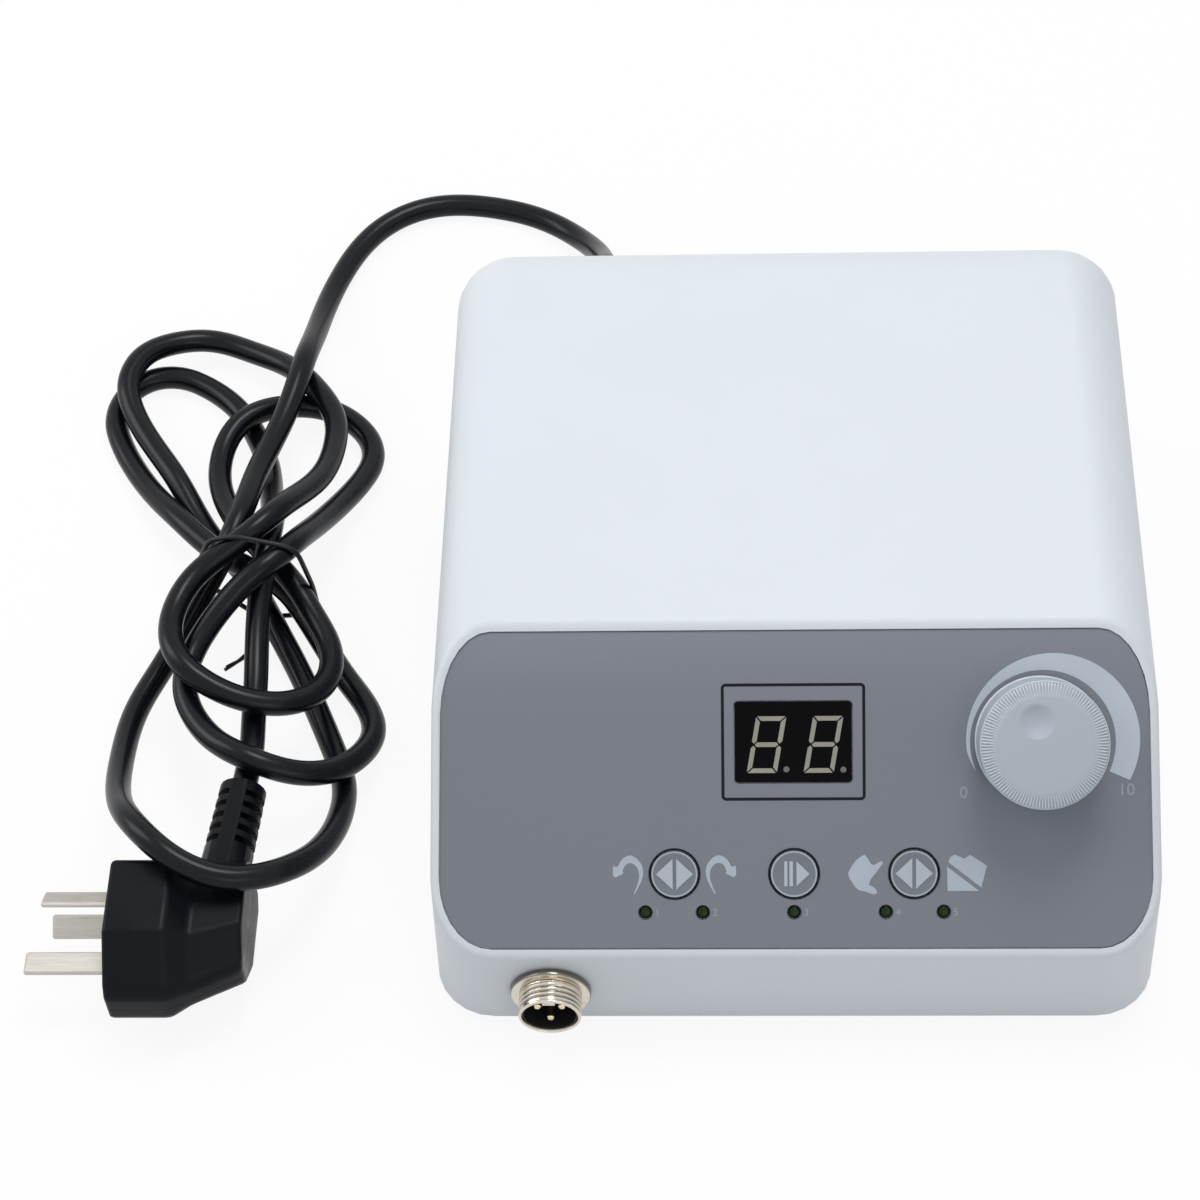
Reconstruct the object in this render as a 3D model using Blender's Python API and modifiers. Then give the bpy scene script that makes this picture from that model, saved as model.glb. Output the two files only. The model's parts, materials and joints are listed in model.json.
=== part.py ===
"""Control unit of a dental lab micromotor, with its mains cord tied in a hank.

Metres, +Z up, the front towards -Y. The unit stands on the plane z = 0, and the
middle of the unit without its cord is at x = 0, y = 0. The slanted front has a
frame of its own: u to the right, v up the slope from its front edge, and n out
of it. The front and rear walls have frames whose Z points out of the wall.
"""

import math

import bmesh
import bpy
import numpy as np
from mathutils import Matrix, Vector

# Shared clearances and mesh settings
GAP = 0.0003
OVERRUN = 0.002
WELD = 0.000001
MERGE = 0.00001
ROUND_STEPS = 32
SMALL_STEPS = 20
SPLINE_STEPS = 40
PIN_STEPS = 12
ARC_STEPS = 4
QUARTER_TURN = math.pi / 2
FULL_TURN = 2 * math.pi
SMOOTH_ANGLE = math.radians(35)
HEX_SIDES = 6

# Housing, a drafted box with a slanted front
HOUSING_WIDTH = 0.184
HOUSING_DEPTH = 0.200
HOUSING_HEIGHT = 0.0812
FRONT_HEIGHT = 0.028
SLOPE_ANGLE = math.radians(39.3)
DRAFT = math.radians(1.75)
PLAN_RADIUS = 0.0155
TOP_RADIUS = 0.0145
CORNER_SEGMENTS = 6
WALL = 0.0025
SLOPE_WALL = 0.0032
RIM = 0.0022
RIM_ROUND = 0.0013
RIM_SEGMENTS = 2

# Feet, with the screws that hold them, the plate and the housing's bosses together
FOOT_REACH = 0.003
FOOT_RADIUS = 0.0075
FOOT_TIP_RADIUS = 0.0068
FOOT_SINK_RADIUS = 0.0036
FOOT_SINK_DEPTH = 0.0016
FOOT_INSET_X = 0.022
FOOT_INSET_Y = 0.022
SCREW_HEAD_RADIUS = 0.0030
SCREW_HEAD_HEIGHT = 0.0012
SCREW_RADIUS = 0.0015
SCREW_LENGTH = 0.014
BOSS_RADIUS = 0.0040
BOSS_HOLE_DEPTH = 0.016

# Base plate with its vent slots and standoffs
PLATE_THICKNESS = 0.0020
PLATE_RECESS = 0.0005
SLOT_WIDTH = 0.0025
SLOT_LENGTH = 0.030
SLOT_PITCH = 0.0065
SLOT_COUNT = 6
SLOT_FIELD_X = 0.040
SLOT_FIELD_Y = -0.045
STANDOFF_RADIUS = 0.0030
STANDOFF_HEIGHT = 0.0050
STANDOFF_INSET = 0.0050

# Front overlay in its recess
OVERLAY_THICKNESS = 0.0008
OVERLAY_RECESS = 0.00035
OUTLINE_STEPS = 7

# Display window and the two digit modules behind it
DISPLAY_SHARE = 0.6417
WINDOW_WIDTH = 0.0290
WINDOW_HEIGHT = 0.0201
WINDOW_RADIUS = 0.0009
DIGIT_PITCH = 0.0138
DIGIT_HEIGHT = 0.0184
DIGIT_BEVEL = 0.0004
PORT_MARGIN = 0.0004

# Keys
KEY_SHARE = 0.2506
KEY_SPACING = 0.0297
KEY_RADIUS = 0.0060
KEY_PROUD = 0.0003
KEY_EDGE = 0.0003
KEY_DISH_RADIUS = 0.0050
KEY_DISH_DEPTH = 0.00025
KEY_FLANGE_RADIUS = 0.0074
KEY_FLANGE_THICKNESS = 0.0010
KEY_STEM_RADIUS = 0.0024
KEY_TRAVEL = 0.0004

# Indicator lamps
LAMP_RADIUS = 0.0014
LAMP_DOME = 0.0005
LAMP_FLANGE_RADIUS = 0.0019
LAMP_FLANGE_HEIGHT = 0.0010
LAMP_LEAD_RADIUS = 0.0007
LAMP_OUTER_U = 0.0370
LAMP_INNER_U = 0.0227

# Speed knob with its potentiometer, shaft and nut
KNOB_ACROSS_SHARE = 0.32962
KNOB_UP_SHARE = 0.6441
KNOB_BASE_RADIUS = 0.0160
KNOB_TOP_RADIUS = 0.0157
KNOB_LIFT = 0.0006
KNOB_HEIGHT = 0.0148
KNOB_EDGE = 0.0006
KNOB_RING_RADIUS = 0.0122
KNOB_RING_DROP = 0.0009
KNOB_CROWN_DROP = 0.0003
KNOB_SHELL = 0.0022
KNOB_HUB_RADIUS = 0.0055
DIMPLE_RADIUS = 0.0042
DIMPLE_OFFSET = 0.0068
DIMPLE_DEPTH = 0.0009
DIMPLE_ANGLE = math.radians(107)
SHAFT_RADIUS = 0.0030
SHAFT_TAIL = 0.0040
POT_RADIUS = 0.0080
POT_LENGTH = 0.0080
BUSH_RADIUS = 0.0040
BUSH_REACH = 0.0046
POT_NUT_FLATS = 0.0110
POT_NUT_THICKNESS = 0.0020
LUG_WIDTH = 0.0016
LUG_THICKNESS = 0.0008
LUG_LENGTH = 0.0050
LUG_PITCH = 0.0045
LUG_COUNT = 3

# Control board behind the slope, its posts and its switches
BOARD_THICKNESS = 0.0016
BOARD_DROP = 0.0100
BOARD_WIDTH = 0.1060
BOARD_LENGTH = 0.0600
BOARD_LOW_V = 0.0075
BOARD_CLEARANCE = 0.0056
SWITCH_SIZE = 0.0060
SWITCH_HEIGHT = 0.0035
SWITCH_BEVEL = 0.0004
POST_RADIUS = 0.0025
POST_INSET_U = 0.0035
POST_INSET_V = 0.0040
POST_CLEARANCE = 0.0008

# Motor socket on the front wall
SOCKET_INSET = 0.0305
SOCKET_CLEARANCE = 0.0015
SOCKET_REACH = 0.0084
SOCKET_THREAD_RADIUS = 0.0080
SOCKET_BORE_RADIUS = 0.0070
SOCKET_RIM_BEVEL = 0.0005
SOCKET_FLANGE_RADIUS = 0.01025
SOCKET_FLANGE_THICKNESS = 0.0018
SOCKET_FLANGE_BEVEL = 0.0004
SOCKET_SHANK_LENGTH = 0.0090
SOCKET_INSERT_FACE = 0.0012
SOCKET_INSERT_LENGTH = 0.0080
SOCKET_PIN_RADIUS = 0.0010
SOCKET_PIN_BEVEL = 0.0003
SOCKET_PIN_SETBACK = 0.0018
SOCKET_PIN_TAIL = 0.0040
SOCKET_PIN_CIRCLE = 0.0036
SOCKET_PIN_ANGLES = (math.radians(30), math.radians(150), math.radians(270))
SOCKET_NUT_FLATS = 0.0190
SOCKET_NUT_THICKNESS = 0.0030

# Rear wall: rocker switch, fuse holder and foot control jack
REAR_Z = 0.0300
ROCKER_INSET = 0.0360
ROCKER_FLANGE_WIDTH = 0.0150
ROCKER_FLANGE_HEIGHT = 0.0210
ROCKER_FLANGE_THICKNESS = 0.0020
ROCKER_BODY_WIDTH = 0.0126
ROCKER_BODY_HEIGHT = 0.0190
ROCKER_BODY_LENGTH = 0.0150
ROCKER_WELL_WIDTH = 0.0104
ROCKER_WELL_HEIGHT = 0.0174
ROCKER_WELL_DEPTH = 0.0080
ROCKER_PIVOT_DEPTH = 0.0020
ROCKER_HALF_LENGTH = 0.0076
ROCKER_CREST = 0.0032
ROCKER_DIP = 0.0018
ROCKER_SKIRT = 0.0012
ROCKER_KEEL = 0.0042
ROCKER_THROW = math.radians(10)
FUSE_SPACING = 0.0280
FUSE_BODY_RADIUS = 0.0060
FUSE_BODY_LENGTH = 0.0280
FUSE_BOTTOM = 0.0020
FUSE_FLANGE_RADIUS = 0.0080
FUSE_FLANGE_THICKNESS = 0.0022
FUSE_CAP_RADIUS = 0.0056
FUSE_CAP_REACH = 0.0086
FUSE_CAP_BEVEL = 0.0008
FUSE_STEM_RADIUS = 0.0034
FUSE_STEM_LENGTH = 0.0100
FUSE_SLOT_WIDTH = 0.0016
FUSE_SLOT_DEPTH = 0.0014
JACK_SPACING = 0.0260
JACK_THREAD_RADIUS = 0.0046
JACK_BORE_RADIUS = 0.0033
JACK_BORE_DEPTH = 0.0240
JACK_REACH = 0.0032
JACK_BODY_RADIUS = 0.0075
JACK_BODY_LENGTH = 0.0260
JACK_NUT_RADIUS = 0.0070
JACK_NUT_THICKNESS = 0.0022

# Transformer, and the power board with what stands on it
CORE_WIDTH = 0.0570
CORE_DEPTH = 0.0260
CORE_HEIGHT = 0.0480
CORE_LEG = 0.0190
CORE_WINDOW_WIDTH = 0.0095
CORE_WINDOW_HEIGHT = 0.0290
CORE_SHARE = -0.2065
CORE_Y = 0.0400
WINDING_BULGE = 0.0085
WINDING_BEVEL = 0.0020
POWER_WIDTH = 0.0700
POWER_LENGTH = 0.0500
POWER_SHARE = 0.2283
POWER_Y = 0.0250
CAPACITOR_RADIUS = 0.0090
CAPACITOR_HEIGHT = 0.0300
CAPACITOR_BEVEL = 0.0010
CAPACITOR_U = -0.0200
CAPACITOR_V = -0.0090
SINK_WIDTH = 0.0420
SINK_DEPTH = 0.0130
SINK_HEIGHT = 0.0250
SINK_SPINE = 0.0030
SINK_FIN_COUNT = 7
SINK_FIN_SHARE = 0.45
SINK_U = 0.0080
SINK_V = 0.0150
RELAY_WIDTH = 0.0190
RELAY_DEPTH = 0.0155
RELAY_HEIGHT = 0.0150
RELAY_BEVEL = 0.0010
RELAY_U = 0.0180
RELAY_V = -0.0090

# Cord gland with its ribbed bend relief
GLAND_INSET = 0.0400
GLAND_Z = 0.0240
GLAND_FLANGE_RADIUS = 0.0078
GLAND_FLANGE_THICKNESS = 0.0020
GLAND_ROOT_RADIUS = 0.0060
GLAND_TIP_RADIUS = 0.0042
GLAND_LENGTH = 0.0260
GLAND_GROOVES = 5
GLAND_GROOVE_SHARE = 0.35
GLAND_GROOVE_DEPTH = 0.0008
GLAND_SHANK_RADIUS = 0.0056
GLAND_SHANK_LENGTH = 0.0070

# Cord
CORD_DIAMETER = 0.0062
CORD_LIFT_GAP = 0.0021
CORD_STEP = 0.0040
CORD_SAG = 0.00010
CORD_PASSES = 1500
CORD_SMOOTH_PASSES = 3
CORD_NEAR_STEPS = 4
CORD_RANK_STEP = 0.5
CORD_EXIT = 0.0100
CORD_HELD_STATIONS = 4
RUN_STEP = 0.0125
TAIL_STEP = 0.0090
BEND_WEIGHT = 0.020
BEND_WINDOW_SHARES = (0.2, 0.2, 0.2, 0.2, 0.2)
HANK_LOOPS = 6
POINTS_PER_LOOP = 24
SELF_CHECK_STEP = 0.001
SELF_CHECK_SKIP = 0.020
LEAD_POINTS = (
    (-0.053, 0.148, 0.0185, 9), (-0.056, 0.160, 0.0105, 9), (-0.062, 0.171, 0.0050, 9),
    (-0.072, 0.180, 0.0031, 9), (-0.088, 0.186, 0.0031, 9), (-0.108, 0.187, 0.0031, 9),
    (-0.124, 0.178, 0.0031, 9), (-0.134, 0.161, 0.0031, 9), (-0.139, 0.138, 0.0031, 9),
    (-0.141, 0.108, 0.0031, 9), (-0.146, 0.086, 0.0031, 9), (-0.151, 0.066, 0.0031, 9),
)
HANK_POINTS = (
    (-0.154, 0.045, 0.0031, 5), (-0.161, 0.030, 0.0031, 5), (-0.167, 0.018, 0.0031, 3),
    (-0.172, 0.006, 0.0031, 1), (-0.178, -0.010, 0.0050, 1), (-0.179, -0.030, 0.0125, 1),
    (-0.177, -0.045, 0.0225, 1), (-0.173, -0.056, 0.0325, 1), (-0.167, -0.065, 0.0374, 1),
    (-0.159, -0.0725, 0.0376, 1), (-0.150, -0.0765, 0.0352, 1), (-0.140, -0.0765, 0.0324, 1),
    (-0.130, -0.071, 0.0280, 1), (-0.1235, -0.061, 0.0200, 1), (-0.120, -0.047, 0.0100, 1),
    (-0.120, -0.032, 0.0031, 1),
    (-0.124, -0.019, 0.0031, 1), (-0.133, 0.002, 0.0031, 1), (-0.140, 0.016, 0.0040, 1),
    (-0.147, 0.029, 0.0050, 1), (-0.155, 0.043, 0.0045, 1), (-0.165, 0.055, 0.0031, 1),
    (-0.176, 0.073, 0.0031, 3), (-0.187, 0.090, 0.0031, 5), (-0.194, 0.104, 0.0031, 6),
    (-0.194, 0.115, 0.0031, 6), (-0.187, 0.124, 0.0031, 6), (-0.173, 0.129, 0.0031, 6),
    (-0.159, 0.124, 0.0031, 6), (-0.147, 0.116, 0.0031, 6), (-0.137, 0.103, 0.0031, 6),
    (-0.131, 0.092, 0.0031, 6), (-0.130, 0.080, 0.0031, 6), (-0.132, 0.065, 0.0031, 6),
    (-0.138, 0.050, 0.0031, 7), (-0.145, 0.037, 0.0031, 7), (-0.154, 0.030, 0.0031, 7),
    (-0.162, 0.024, 0.0031, 7), (-0.167, 0.015, 0.0031, 7), (-0.168, 0.004, 0.0031, 7),
    (-0.164, -0.006, 0.0031, 7), (-0.156, -0.012, 0.0031, 7), (-0.146, -0.015, 0.0031, 7),
    (-0.136, -0.014, 0.0031, 7), (-0.128, -0.008, 0.0031, 7), (-0.125, 0.001, 0.0031, 7),
    (-0.127, 0.011, 0.0031, 7), (-0.132, 0.020, 0.0031, 5), (-0.137, 0.028, 0.0031, 4),
    (-0.146, 0.038, 0.0031, 3.4), (-0.156, 0.053, 0.0031, 3.4), (-0.163, 0.069, 0.0031, 3.4),
    (-0.164, 0.081, 0.0031, 4), (-0.161, 0.091, 0.0031, 5), (-0.155, 0.097, 0.0031, 5),
    (-0.148, 0.101, 0.0031, 5), (-0.139, 0.103, 0.0031, 5), (-0.131, 0.101, 0.0031, 5),
    (-0.124, 0.095, 0.0031, 5), (-0.120, 0.087, 0.0031, 5), (-0.121, 0.078, 0.0031, 5),
    (-0.125, 0.067, 0.0031, 5), (-0.130, 0.054, 0.0031, 6), (-0.135, 0.039, 0.0031, 6),
    (-0.140, 0.028, 0.0031, 6), (-0.148, 0.021, 0.0031, 6), (-0.156, 0.013, 0.0031, 6),
    (-0.162, 0.003, 0.0031, 6), (-0.164, -0.008, 0.0031, 6), (-0.160, -0.019, 0.0031, 6),
    (-0.152, -0.029, 0.0031, 6), (-0.142, -0.035, 0.0031, 6), (-0.131, -0.036, 0.0031, 6),
    (-0.121, -0.032, 0.0031, 6), (-0.115, -0.024, 0.0031, 6), (-0.113, -0.014, 0.0031, 6),
    (-0.117, -0.003, 0.0031, 6), (-0.123, 0.006, 0.0031, 6), (-0.128, 0.014, 0.0031, 5),
    (-0.135, 0.025, 0.0031, 3), (-0.142, 0.033, 0.0031, 2.4), (-0.152, 0.038, 0.0031, 2.3),
    (-0.164, 0.047, 0.0031, 2.3), (-0.178, 0.063, 0.0031, 2.3), (-0.189, 0.079, 0.0031, 3),
    (-0.196, 0.092, 0.0031, 3), (-0.199, 0.104, 0.0031, 3), (-0.196, 0.113, 0.0031, 3),
    (-0.188, 0.1185, 0.0031, 3), (-0.178, 0.1165, 0.0031, 3), (-0.169, 0.111, 0.0031, 3),
    (-0.161, 0.103, 0.0031, 3), (-0.155, 0.092, 0.0031, 3), (-0.150, 0.078, 0.0031, 3),
    (-0.147, 0.062, 0.0031, 3.4), (-0.144, 0.044, 0.0031, 4.5),
)
TAIL_POINTS = (
    (-0.145, 0.029, 0.0031, 4.5), (-0.146, 0.018, 0.0031, 4.5), (-0.146, 0.007, 0.0031, 2),
    (-0.1455, -0.004, 0.0040, 2), (-0.145, -0.017, 0.0105, 2),
)
TIE_Y = 0.031
TIE_HALF_BAND = 0.004
TIE_RADIUS = 0.0006
TIE_POINTS = 28
TIE_SLACK = 0.0012

# Mains plug with flat angled pins
PLUG_X = -0.1745
PLUG_Y = -0.0772
PLUG_FRONT = 0.0282
PLUG_BACK = 0.0059
PLUG_HALF_HEIGHT = 0.0168
PLUG_SPINE = 0.0090
PLUG_SPINE_HALF = 0.0110
PLUG_TAPER = 0.0150
PLUG_CHEEK = 0.0262
PLUG_CHEEK_HALF = 0.0080
PLUG_NOSE_HALF = 0.0045
PLUG_FACE_DEPTH = 0.0157
PLUG_SHOULDER_DEPTH = 0.0210
PLUG_DEPTH = 0.0345
PLUG_SHOULDER_SHARES = (0.90, 1.15, 0.720)
PLUG_REAR_SHARES = (0.66, 1.25, 0.700)
PLUG_BEVEL = 0.0012
RELIEF_DEPTH = 0.0262
RELIEF_SINK = 0.0060
RELIEF_LENGTH = 0.0275
RELIEF_YAW = math.radians(-6)
RELIEF_RADIUS = 0.0069
RELIEF_TIP_RADIUS = 0.0062
RELIEF_SLOT_COUNT = 5
RELIEF_SLOT_PITCH = 0.0036
RELIEF_SLOT_WIDTH = 0.0018
RELIEF_SLOT_START = 0.0092
RELIEF_SPINE = 0.0044
BLADE_WIDTH = 0.0064
BLADE_THICKNESS = 0.0015
BLADE_LENGTH = 0.0185
EARTH_LENGTH = 0.0225
BLADE_SPACING = 0.0137
EARTH_DISTANCE = 0.0149
BLADE_TILT = math.radians(30)
BLADE_TIP = 0.0005
BLADE_ROOT = 0.0040

# Colours: red, green, blue, roughness and metallic
FINISHES = {
    "housing_white": (0.75, 0.79, 0.84, 0.42, 0.0),
    "overlay_grey": (0.21, 0.23, 0.26, 0.50, 0.0),
    "dark_window": (0.012, 0.012, 0.014, 0.18, 0.0),
    "key_grey": (0.30, 0.32, 0.35, 0.55, 0.0),
    "lamp_green": (0.03, 0.16, 0.05, 0.25, 0.0),
    "knob_white": (0.74, 0.79, 0.85, 0.45, 0.0),
    "plate_grey": (0.45, 0.46, 0.48, 0.45, 0.0),
    "rubber_black": (0.02, 0.02, 0.02, 0.80, 0.0),
    "plastic_black": (0.02, 0.02, 0.022, 0.45, 0.0),
    "nickel": (0.62, 0.58, 0.53, 0.28, 1.0),
    "steel": (0.55, 0.56, 0.57, 0.38, 1.0),
    "brass": (0.70, 0.52, 0.22, 0.30, 1.0),
    "core_steel": (0.22, 0.23, 0.25, 0.50, 1.0),
    "winding_tape": (0.55, 0.42, 0.10, 0.50, 0.0),
    "board_green": (0.03, 0.20, 0.07, 0.45, 0.0),
    "component_blue": (0.04, 0.09, 0.28, 0.45, 0.0),
    "aluminium": (0.60, 0.61, 0.63, 0.40, 1.0),
}

# Places that follow from the sizes above
SLOPE_LENGTH = (HOUSING_HEIGHT - FRONT_HEIGHT) / math.sin(SLOPE_ANGLE)
FACE_N = -OVERLAY_RECESS
FLOOR_N = FACE_N - OVERLAY_THICKNESS - GAP
PLATE_BOTTOM = FOOT_REACH + PLATE_RECESS
PLATE_TOP = PLATE_BOTTOM + PLATE_THICKNESS
DISPLAY_V = SLOPE_LENGTH * DISPLAY_SHARE
KEY_V = SLOPE_LENGTH * KEY_SHARE
LAMP_V = KEY_V - KEY_FLANGE_RADIUS - LAMP_FLANGE_RADIUS - GAP
KNOB_U = HOUSING_WIDTH * KNOB_ACROSS_SHARE
KNOB_V = SLOPE_LENGTH * KNOB_UP_SHARE
BOARD_U = KNOB_U - POT_RADIUS - BOARD_CLEARANCE - BOARD_WIDTH / 2
BOARD_V = BOARD_LOW_V + BOARD_LENGTH / 2
POST_LOW_V = KEY_V + KEY_FLANGE_RADIUS + POST_RADIUS + POST_CLEARANCE
POST_HIGH_V = BOARD_LOW_V + BOARD_LENGTH - POST_INSET_V
SOCKET_X = SOCKET_INSET - HOUSING_WIDTH / 2
SOCKET_Z = PLATE_TOP + SOCKET_NUT_FLATS / 2 + SOCKET_CLEARANCE
ROCKER_X = HOUSING_WIDTH / 2 - ROCKER_INSET
FUSE_X = ROCKER_X - FUSE_SPACING
JACK_X = FUSE_X - JACK_SPACING
GLAND_X = GLAND_INSET - HOUSING_WIDTH / 2
CORE_X = HOUSING_WIDTH * CORE_SHARE
POWER_X = HOUSING_WIDTH * POWER_SHARE
BOARD_N = -BOARD_DROP
SOCKET_LEAN = (SOCKET_Z - FOOT_REACH) * math.tan(DRAFT)
REAR_LEAN = (REAR_Z - FOOT_REACH) * math.tan(DRAFT)
FRONT_REACH = SOCKET_REACH * math.cos(DRAFT) + SOCKET_THREAD_RADIUS * math.sin(DRAFT) - SOCKET_LEAN
REAR_REACH = FUSE_CAP_REACH * math.cos(DRAFT) + FUSE_CAP_RADIUS * math.sin(DRAFT) - REAR_LEAN
HOUSING_Y = (FRONT_REACH - REAR_REACH) / 2
POWER_BOTTOM = PLATE_TOP + STANDOFF_HEIGHT + GAP
POWER_TOP = POWER_BOTTOM + BOARD_THICKNESS
KNOB_TOP = KNOB_LIFT + KNOB_HEIGHT
SHAFT_TOP = KNOB_TOP - KNOB_SHELL - KNOB_RING_DROP - GAP
BUSH_TOP = FACE_N + BUSH_REACH
POT_TOP = -SLOPE_WALL - GAP
SWITCH_TOP = BOARD_N + GAP + SWITCH_HEIGHT
ROCKER_PIVOT_Z = GAP + ROCKER_FLANGE_THICKNESS - ROCKER_PIVOT_DEPTH

parts = None
cutters = None
materials = {}


def start_scene():
    """Clears the scene and makes the two collections and the materials."""
    global parts, cutters
    for old in list(bpy.data.objects):
        bpy.data.objects.remove(old, do_unlink=True)
    parts = bpy.data.collections.new("micromotor_control_unit")
    cutters = bpy.data.collections.new("cutters")
    for collection in (parts, cutters):
        bpy.context.scene.collection.children.link(collection)
    for name, (red, green, blue, roughness, metallic) in FINISHES.items():
        material = bpy.data.materials.new(name)
        material.use_nodes = True
        shader = material.node_tree.nodes["Principled BSDF"]
        shader.inputs["Base Color"].default_value = (red, green, blue, 1)
        shader.inputs["Roughness"].default_value = roughness
        shader.inputs["Metallic"].default_value = metallic
        material.diffuse_color = (red, green, blue, 1)
        materials[name] = material


def add_object(name, data, finish, frame=None, place=(0, 0, 0), turn=(0, 0, 0)):
    """Links an object that carries this data; finish None makes it a cutter."""
    obj = bpy.data.objects.new(name, data)
    obj.parent = frame
    obj.location = place
    obj.rotation_euler = turn
    if finish is None:
        cutters.objects.link(obj)
        obj.hide_render = True
        obj.display_type = "WIRE"
    else:
        parts.objects.link(obj)
        data.materials.append(materials[finish])
    return obj


def to_mesh(bm, name):
    """Turns a bmesh into a mesh, shaded smooth up to the sharp angle."""
    bmesh.ops.recalc_face_normals(bm, faces=bm.faces)
    mesh = bpy.data.meshes.new(name)
    bm.to_mesh(mesh)
    bm.free()
    mesh.shade_smooth()
    mesh.set_sharp_from_angle(angle=SMOOTH_ANGLE)
    return mesh


def box_mesh(name, size, centre=(0, 0, 0), bevel=0, segments=2):
    """A box of this size round its centre, its edges rounded if a bevel is given."""
    bm = bmesh.new()
    bmesh.ops.create_cube(bm, size=1)
    bmesh.ops.scale(bm, vec=size, verts=bm.verts)
    bmesh.ops.translate(bm, vec=centre, verts=bm.verts)
    if bevel:
        bmesh.ops.bevel(bm, geom=bm.edges, offset=bevel, segments=segments, profile=0.5, affect="EDGES")
    return to_mesh(bm, name)


def rod_mesh(name, radius, low, high, steps=SMALL_STEPS, tip_radius=None, turn=0):
    """A rod along Z from low to high, or a cone if it has a tip radius."""
    bm = bmesh.new()
    top = radius if tip_radius is None else tip_radius
    bmesh.ops.create_cone(bm, cap_ends=True, segments=steps, radius1=radius, radius2=top, depth=high - low)
    bmesh.ops.rotate(bm, cent=(0, 0, 0), matrix=Matrix.Rotation(turn, 3, "Z"), verts=bm.verts)
    bmesh.ops.translate(bm, vec=(0, 0, (low + high) / 2), verts=bm.verts)
    return to_mesh(bm, name)


def turned(name, profile, finish, frame=None, place=(0, 0, 0), turn=(0, 0, 0), steps=ROUND_STEPS):
    """A solid of revolution about Z; the profile of (radius, z) runs down its outer side."""
    bm = bmesh.new()
    verts = [bm.verts.new((radius, 0, height)) for radius, height in profile]
    for first, second in zip(verts, verts[1:]):
        bm.edges.new((first, second))
    if profile[0][0] or profile[-1][0]:
        bm.edges.new((verts[-1], verts[0]))
    mesh = bpy.data.meshes.new(name)
    bm.to_mesh(mesh)
    bm.free()
    obj = add_object(name, mesh, finish, frame, place, turn)
    screw = obj.modifiers.new("Turn", "SCREW")
    screw.axis = "Z"
    screw.steps = steps
    screw.render_steps = steps
    screw.use_merge_vertices = True
    screw.merge_threshold = MERGE
    screw.use_smooth_shade = True
    return obj


def outline_mesh(name, outlines, low, high):
    """A flat piece between two heights; the first outline is its edge and the others are holes."""
    curve = bpy.data.curves.new(name, "CURVE")
    curve.dimensions = "2D"
    curve.fill_mode = "BOTH"
    curve.extrude = (high - low) / 2
    for outline in outlines:
        spline = curve.splines.new("POLY")
        spline.points.add(len(outline) - 1)
        for point, (x, y) in zip(spline.points, outline):
            point.co = (x, y, 0, 1)
        spline.use_cyclic_u = True
    guide = bpy.data.objects.new(name, curve)
    cutters.objects.link(guide)
    mesh = bpy.data.meshes.new_from_object(guide.evaluated_get(bpy.context.evaluated_depsgraph_get()))
    bpy.data.objects.remove(guide)
    bpy.data.curves.remove(curve)
    bm = bmesh.new()
    bm.from_mesh(mesh)
    bpy.data.meshes.remove(mesh)
    bmesh.ops.remove_doubles(bm, verts=bm.verts, dist=WELD)
    bmesh.ops.translate(bm, vec=(0, 0, (low + high) / 2), verts=bm.verts)
    return to_mesh(bm, name)


def combine(obj, other, operation="DIFFERENCE"):
    """Adds an exact Boolean with another object."""
    modifier = obj.modifiers.new(other.name, "BOOLEAN")
    modifier.operation = operation
    modifier.object = other
    modifier.solver = "EXACT"


def cut_rod(obj, name, radius, low, high, frame=None, place=(0, 0, 0), steps=SMALL_STEPS):
    """Drills a round hole along the frame's Z."""
    cutter = add_object(name, rod_mesh(name, radius, low, high, steps), None, frame, place)
    combine(obj, cutter)


def circle(radius, centre=(0, 0), steps=SMALL_STEPS):
    """Points of a circle."""
    angles = [FULL_TURN * step / steps for step in range(steps)]
    return [(centre[0] + radius * math.cos(a), centre[1] + radius * math.sin(a)) for a in angles]


def rounded_outline(width, height, radius, centre=(0, 0), steps=ARC_STEPS):
    """Points of a rectangle with round corners."""
    points = []
    corners = ((1, 1), (-1, 1), (-1, -1), (1, -1))
    for quarter, (side_x, side_y) in enumerate(corners):
        middle_x = centre[0] + side_x * (width / 2 - radius)
        middle_y = centre[1] + side_y * (height / 2 - radius)
        for step in range(steps + 1):
            angle = QUARTER_TURN * (quarter + step / steps)
            point = (middle_x + radius * math.cos(angle), middle_y + radius * math.sin(angle))
            if not points or math.dist(point, points[-1]) > MERGE:
                points.append(point)
    if math.dist(points[0], points[-1]) < MERGE:
        points.pop()
    return points


def half_width(height):
    """Half the housing's width at a height above its lower edge."""
    return HOUSING_WIDTH / 2 - height * math.tan(DRAFT)


def slope_outline(inset):
    """The edge of the slanted face, moved inwards by the inset, as points of (u, v)."""
    low_radii = (PLAN_RADIUS - inset, PLAN_RADIUS / math.cos(SLOPE_ANGLE) - inset)
    high_radii = (TOP_RADIUS - inset, TOP_RADIUS / math.sin(SLOPE_ANGLE) - inset)
    rows = (
        (high_radii, SLOPE_LENGTH - inset - high_radii[1], 1, 0),
        (high_radii, SLOPE_LENGTH - inset - high_radii[1], -1, 1),
        (low_radii, inset + low_radii[1], -1, 2),
        (low_radii, inset + low_radii[1], 1, 3),
    )
    points = []
    for (radius_u, radius_v), middle_v, side, quarter in rows:
        for step in range(OUTLINE_STEPS + 1):
            angle = QUARTER_TURN * (quarter + step / OUTLINE_STEPS)
            v = middle_v + radius_v * math.sin(angle)
            edge = half_width(FRONT_HEIGHT + v * math.sin(SLOPE_ANGLE)) - inset
            points.append((side * (edge - radius_u) + radius_u * math.cos(angle), v))
    return points


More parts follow.
